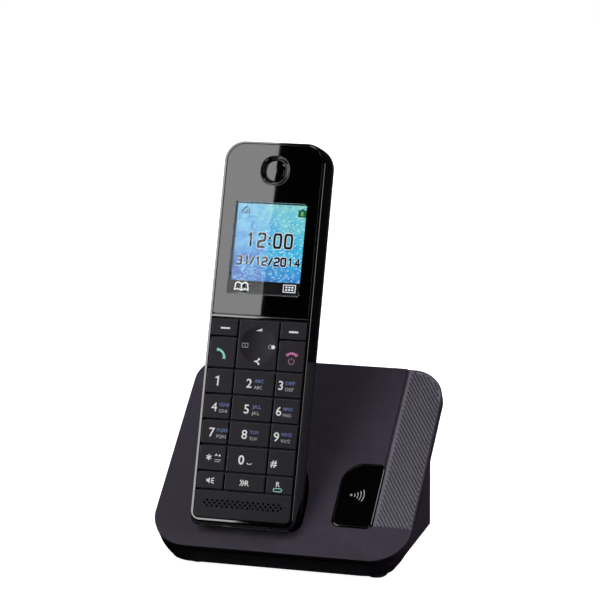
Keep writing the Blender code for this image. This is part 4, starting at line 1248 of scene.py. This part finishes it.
KEPT = {
    "foot_rubber": ("foot_front_left", "foot_front_right", "foot_rear_left", "foot_rear_right"),
    "plated_steel": ("base_screw_left", "base_screw_right", "locator_switch", "receiver_speaker",
                     "microphone", "key_dome_sheet", "ringer_loudspeaker"),
    "contact_metal": ("base_charge_contact_left", "base_charge_contact_right", "battery_contact_upper",
                      "battery_contact_lower", "handset_charge_contact_left", "handset_charge_contact_right"),
    "circuit_board": ("base_circuit_board", "handset_circuit_board", "locator_board"),
    "jack_plastic": ("line_jack", "dc_jack"),
    "key_rubber": ("nav_actuator",),
    "battery_sleeve": ("battery_1", "battery_2"),
}


def dress_kept_nodes():
    for finish, names in KEPT.items():
        for name in names:
            node = frame["nodes"][name]
            node.data.materials.clear()
            node.data.materials.append(FINISHES[finish])
            node.data.shade_smooth()
            node.data.set_sharp_from_angle(angle=SHARP)
            rounding = node.modifiers.new("edges", "BEVEL")
            rounding.width = 0.12 * MM
            rounding.segments = 2
            rounding.limit_method = "ANGLE"
            rounding.angle_limit = SHARP


# ---------------------------------------------------------------- studio

CAMERA_AZIMUTH, CAMERA_ELEVATION, CAMERA_ROLL = math.radians(16.34), math.radians(12.96), math.radians(-0.37)
CAMERA_DISTANCE = 1.00013
CAMERA_TARGET = Vector((0.00086, -0.0009, 0.09917))
CAMERA_BACK = Vector((math.sin(CAMERA_AZIMUTH) * math.cos(CAMERA_ELEVATION),
                      -math.cos(CAMERA_AZIMUTH) * math.cos(CAMERA_ELEVATION), math.sin(CAMERA_ELEVATION)))
SENSOR_WIDTH, LENS = 36.0, 155.52
LIGHTS = (                  # name, place, width, height, radiance, in diffuse light, in reflections
    ("overhead", (-0.28, -0.28, 1.00), 0.4, 0.4, 12.2, True, False),
    ("right_fill", (1.00, -0.30, 0.22), 0.6, 0.4, 1.6, True, False),
    ("overhead_right", (0.60, 0.10, 0.70), 0.5, 0.5, 6.4, True, True),
    ("left_strip", (-1.15, -0.30, 0.30), 0.8, 0.5, 6.0, False, True),
    ("right_strip", (0.66, -0.88, 0.46), 0.5, 0.6, 3.4, False, True),
    ("back", (-0.50, 1.10, 0.60), 0.8, 0.8, 2.5, True, True),
)
CARD_RADIANCE, CARD_DISTANCE, CARD_WIDTH, CARD_HEIGHT = 5.4, 1.1, 0.9, 1.1
CARD_EDGE_LOW, CARD_EDGE_HIGH = (0.0, 84.0), (1.3, 149.0)     # on the window


def add_camera():
    data = bpy.data.cameras.new("camera")
    data.sensor_width = SENSOR_WIDTH
    data.lens = LENS
    data.clip_start = 0.05
    camera = placed("camera", data)
    level = Vector((math.cos(CAMERA_AZIMUTH), math.sin(CAMERA_AZIMUTH), 0.0))
    upright = CAMERA_BACK.cross(level)
    c, s = math.cos(CAMERA_ROLL), math.sin(CAMERA_ROLL)
    camera.matrix_world = axes_matrix(CAMERA_TARGET + CAMERA_BACK * CAMERA_DISTANCE,
                                      level * c + upright * s, upright * c - level * s, CAMERA_BACK)
    bpy.context.scene.camera = camera
    return camera


def area_light(name, place, target, width, height, radiance):
    data = bpy.data.lights.new(name, "AREA")
    data.shape = "RECTANGLE"
    data.size, data.size_y = width, height
    data.energy = radiance * math.pi * width * height
    light = placed(name, data)
    light.location = place
    light.rotation_euler = (Vector(place) - Vector(target)).to_track_quat("Z", "Y").to_euler()
    light.visible_camera = False
    return light


def mirrored_ray(camera, x, y):
    """Where the camera looks by way of the window: a point of the window and the reflected direction."""
    point = HANDSET @ Vector((x, y, WINDOW_FRONT)) * MM
    ray = (point - camera.matrix_world.translation).normalized()
    return point, ray - 2 * ray.dot(FACE_OUT) * FACE_OUT


def add_window_card(camera):
    """Soft box at the front left. The window shows its right edge as a line up its middle."""
    low_point, low_ray = mirrored_ray(camera, *CARD_EDGE_LOW)
    high_point, high_ray = mirrored_ray(camera, *CARD_EDGE_HIGH)
    facing = (low_ray + high_ray).normalized()
    low = low_point + low_ray * CARD_DISTANCE
    reach = (low - high_point).dot(facing) / high_ray.dot(facing)
    high = high_point + high_ray * reach
    edge = (high - low).normalized()
    across = edge.cross(facing).normalized()
    inward = -across if across.x > 0 else across
    centre = (low + high) / 2 + inward * CARD_WIDTH / 2
    light = area_light("window_card", centre, centre - facing, CARD_WIDTH, CARD_HEIGHT, CARD_RADIANCE)
    light.matrix_world = axes_matrix(centre, across, edge, across.cross(edge))
    light.visible_diffuse = False


def add_world():
    """Nearly black for the lighting, white for the camera."""
    world = bpy.data.worlds.new("studio")
    world.use_nodes = True
    tree = world.node_tree
    dark = tree.nodes["Background"]
    dark.inputs["Color"].default_value = (0.006, 0.006, 0.007, 1.0)
    white = tree.nodes.new("ShaderNodeBackground")
    white.inputs["Color"].default_value = (1.0, 1.0, 1.0, 1.0)
    seen = tree.nodes.new("ShaderNodeLightPath")
    mix = tree.nodes.new("ShaderNodeMixShader")
    for source, socket in ((seen.outputs["Is Camera Ray"], mix.inputs[0]), (dark.outputs[0], mix.inputs[1]),
                           (white.outputs[0], mix.inputs[2]),
                           (mix.outputs[0], tree.nodes["World Output"].inputs["Surface"])):
        tree.links.new(source, socket)
    bpy.context.scene.world = world


def studio():
    add_window_card(add_camera())
    for name, place, width, height, radiance, diffuse, reflected in LIGHTS:
        light = area_light(name, place, (0.0, 0.0, 0.07), width, height, radiance)
        light.visible_diffuse = diffuse
        light.visible_glossy = reflected
    add_world()
    bpy.context.scene.view_settings.view_transform = "Standard"
    add_floor()


def add_floor():
    bm = bmesh.new()
    bmesh.ops.create_grid(bm, x_segments=8, y_segments=8, size=4.0)
    mesh = written(bm, bpy.data.meshes.new("floor"))
    nodes = Nodes("floor")
    nodes.shade("Base Color", nodes.mix(nodes.noise(40.0), (0.78, 0.78, 0.78), (0.82, 0.82, 0.82)))
    nodes.shade("Roughness", 0.9)
    nodes.shade("Emission Color", (1.0, 1.0, 1.0, 1.0))
    nodes.shade("Emission Strength", 0.96)
    mesh.materials.append(nodes.material)
    floor = placed("floor", mesh)
    floor.visible_glossy = False
    floor.visible_diffuse = False


# ---------------------------------------------------------------- assembly

base_cover()
base_case()
locator_button()
front_case()
rear_case()
battery_door()
window()
earpiece()
display_panel()
key_caps()
keypad_membrane()
navigation_key()
lower_grille()
dress_kept_nodes()
studio()
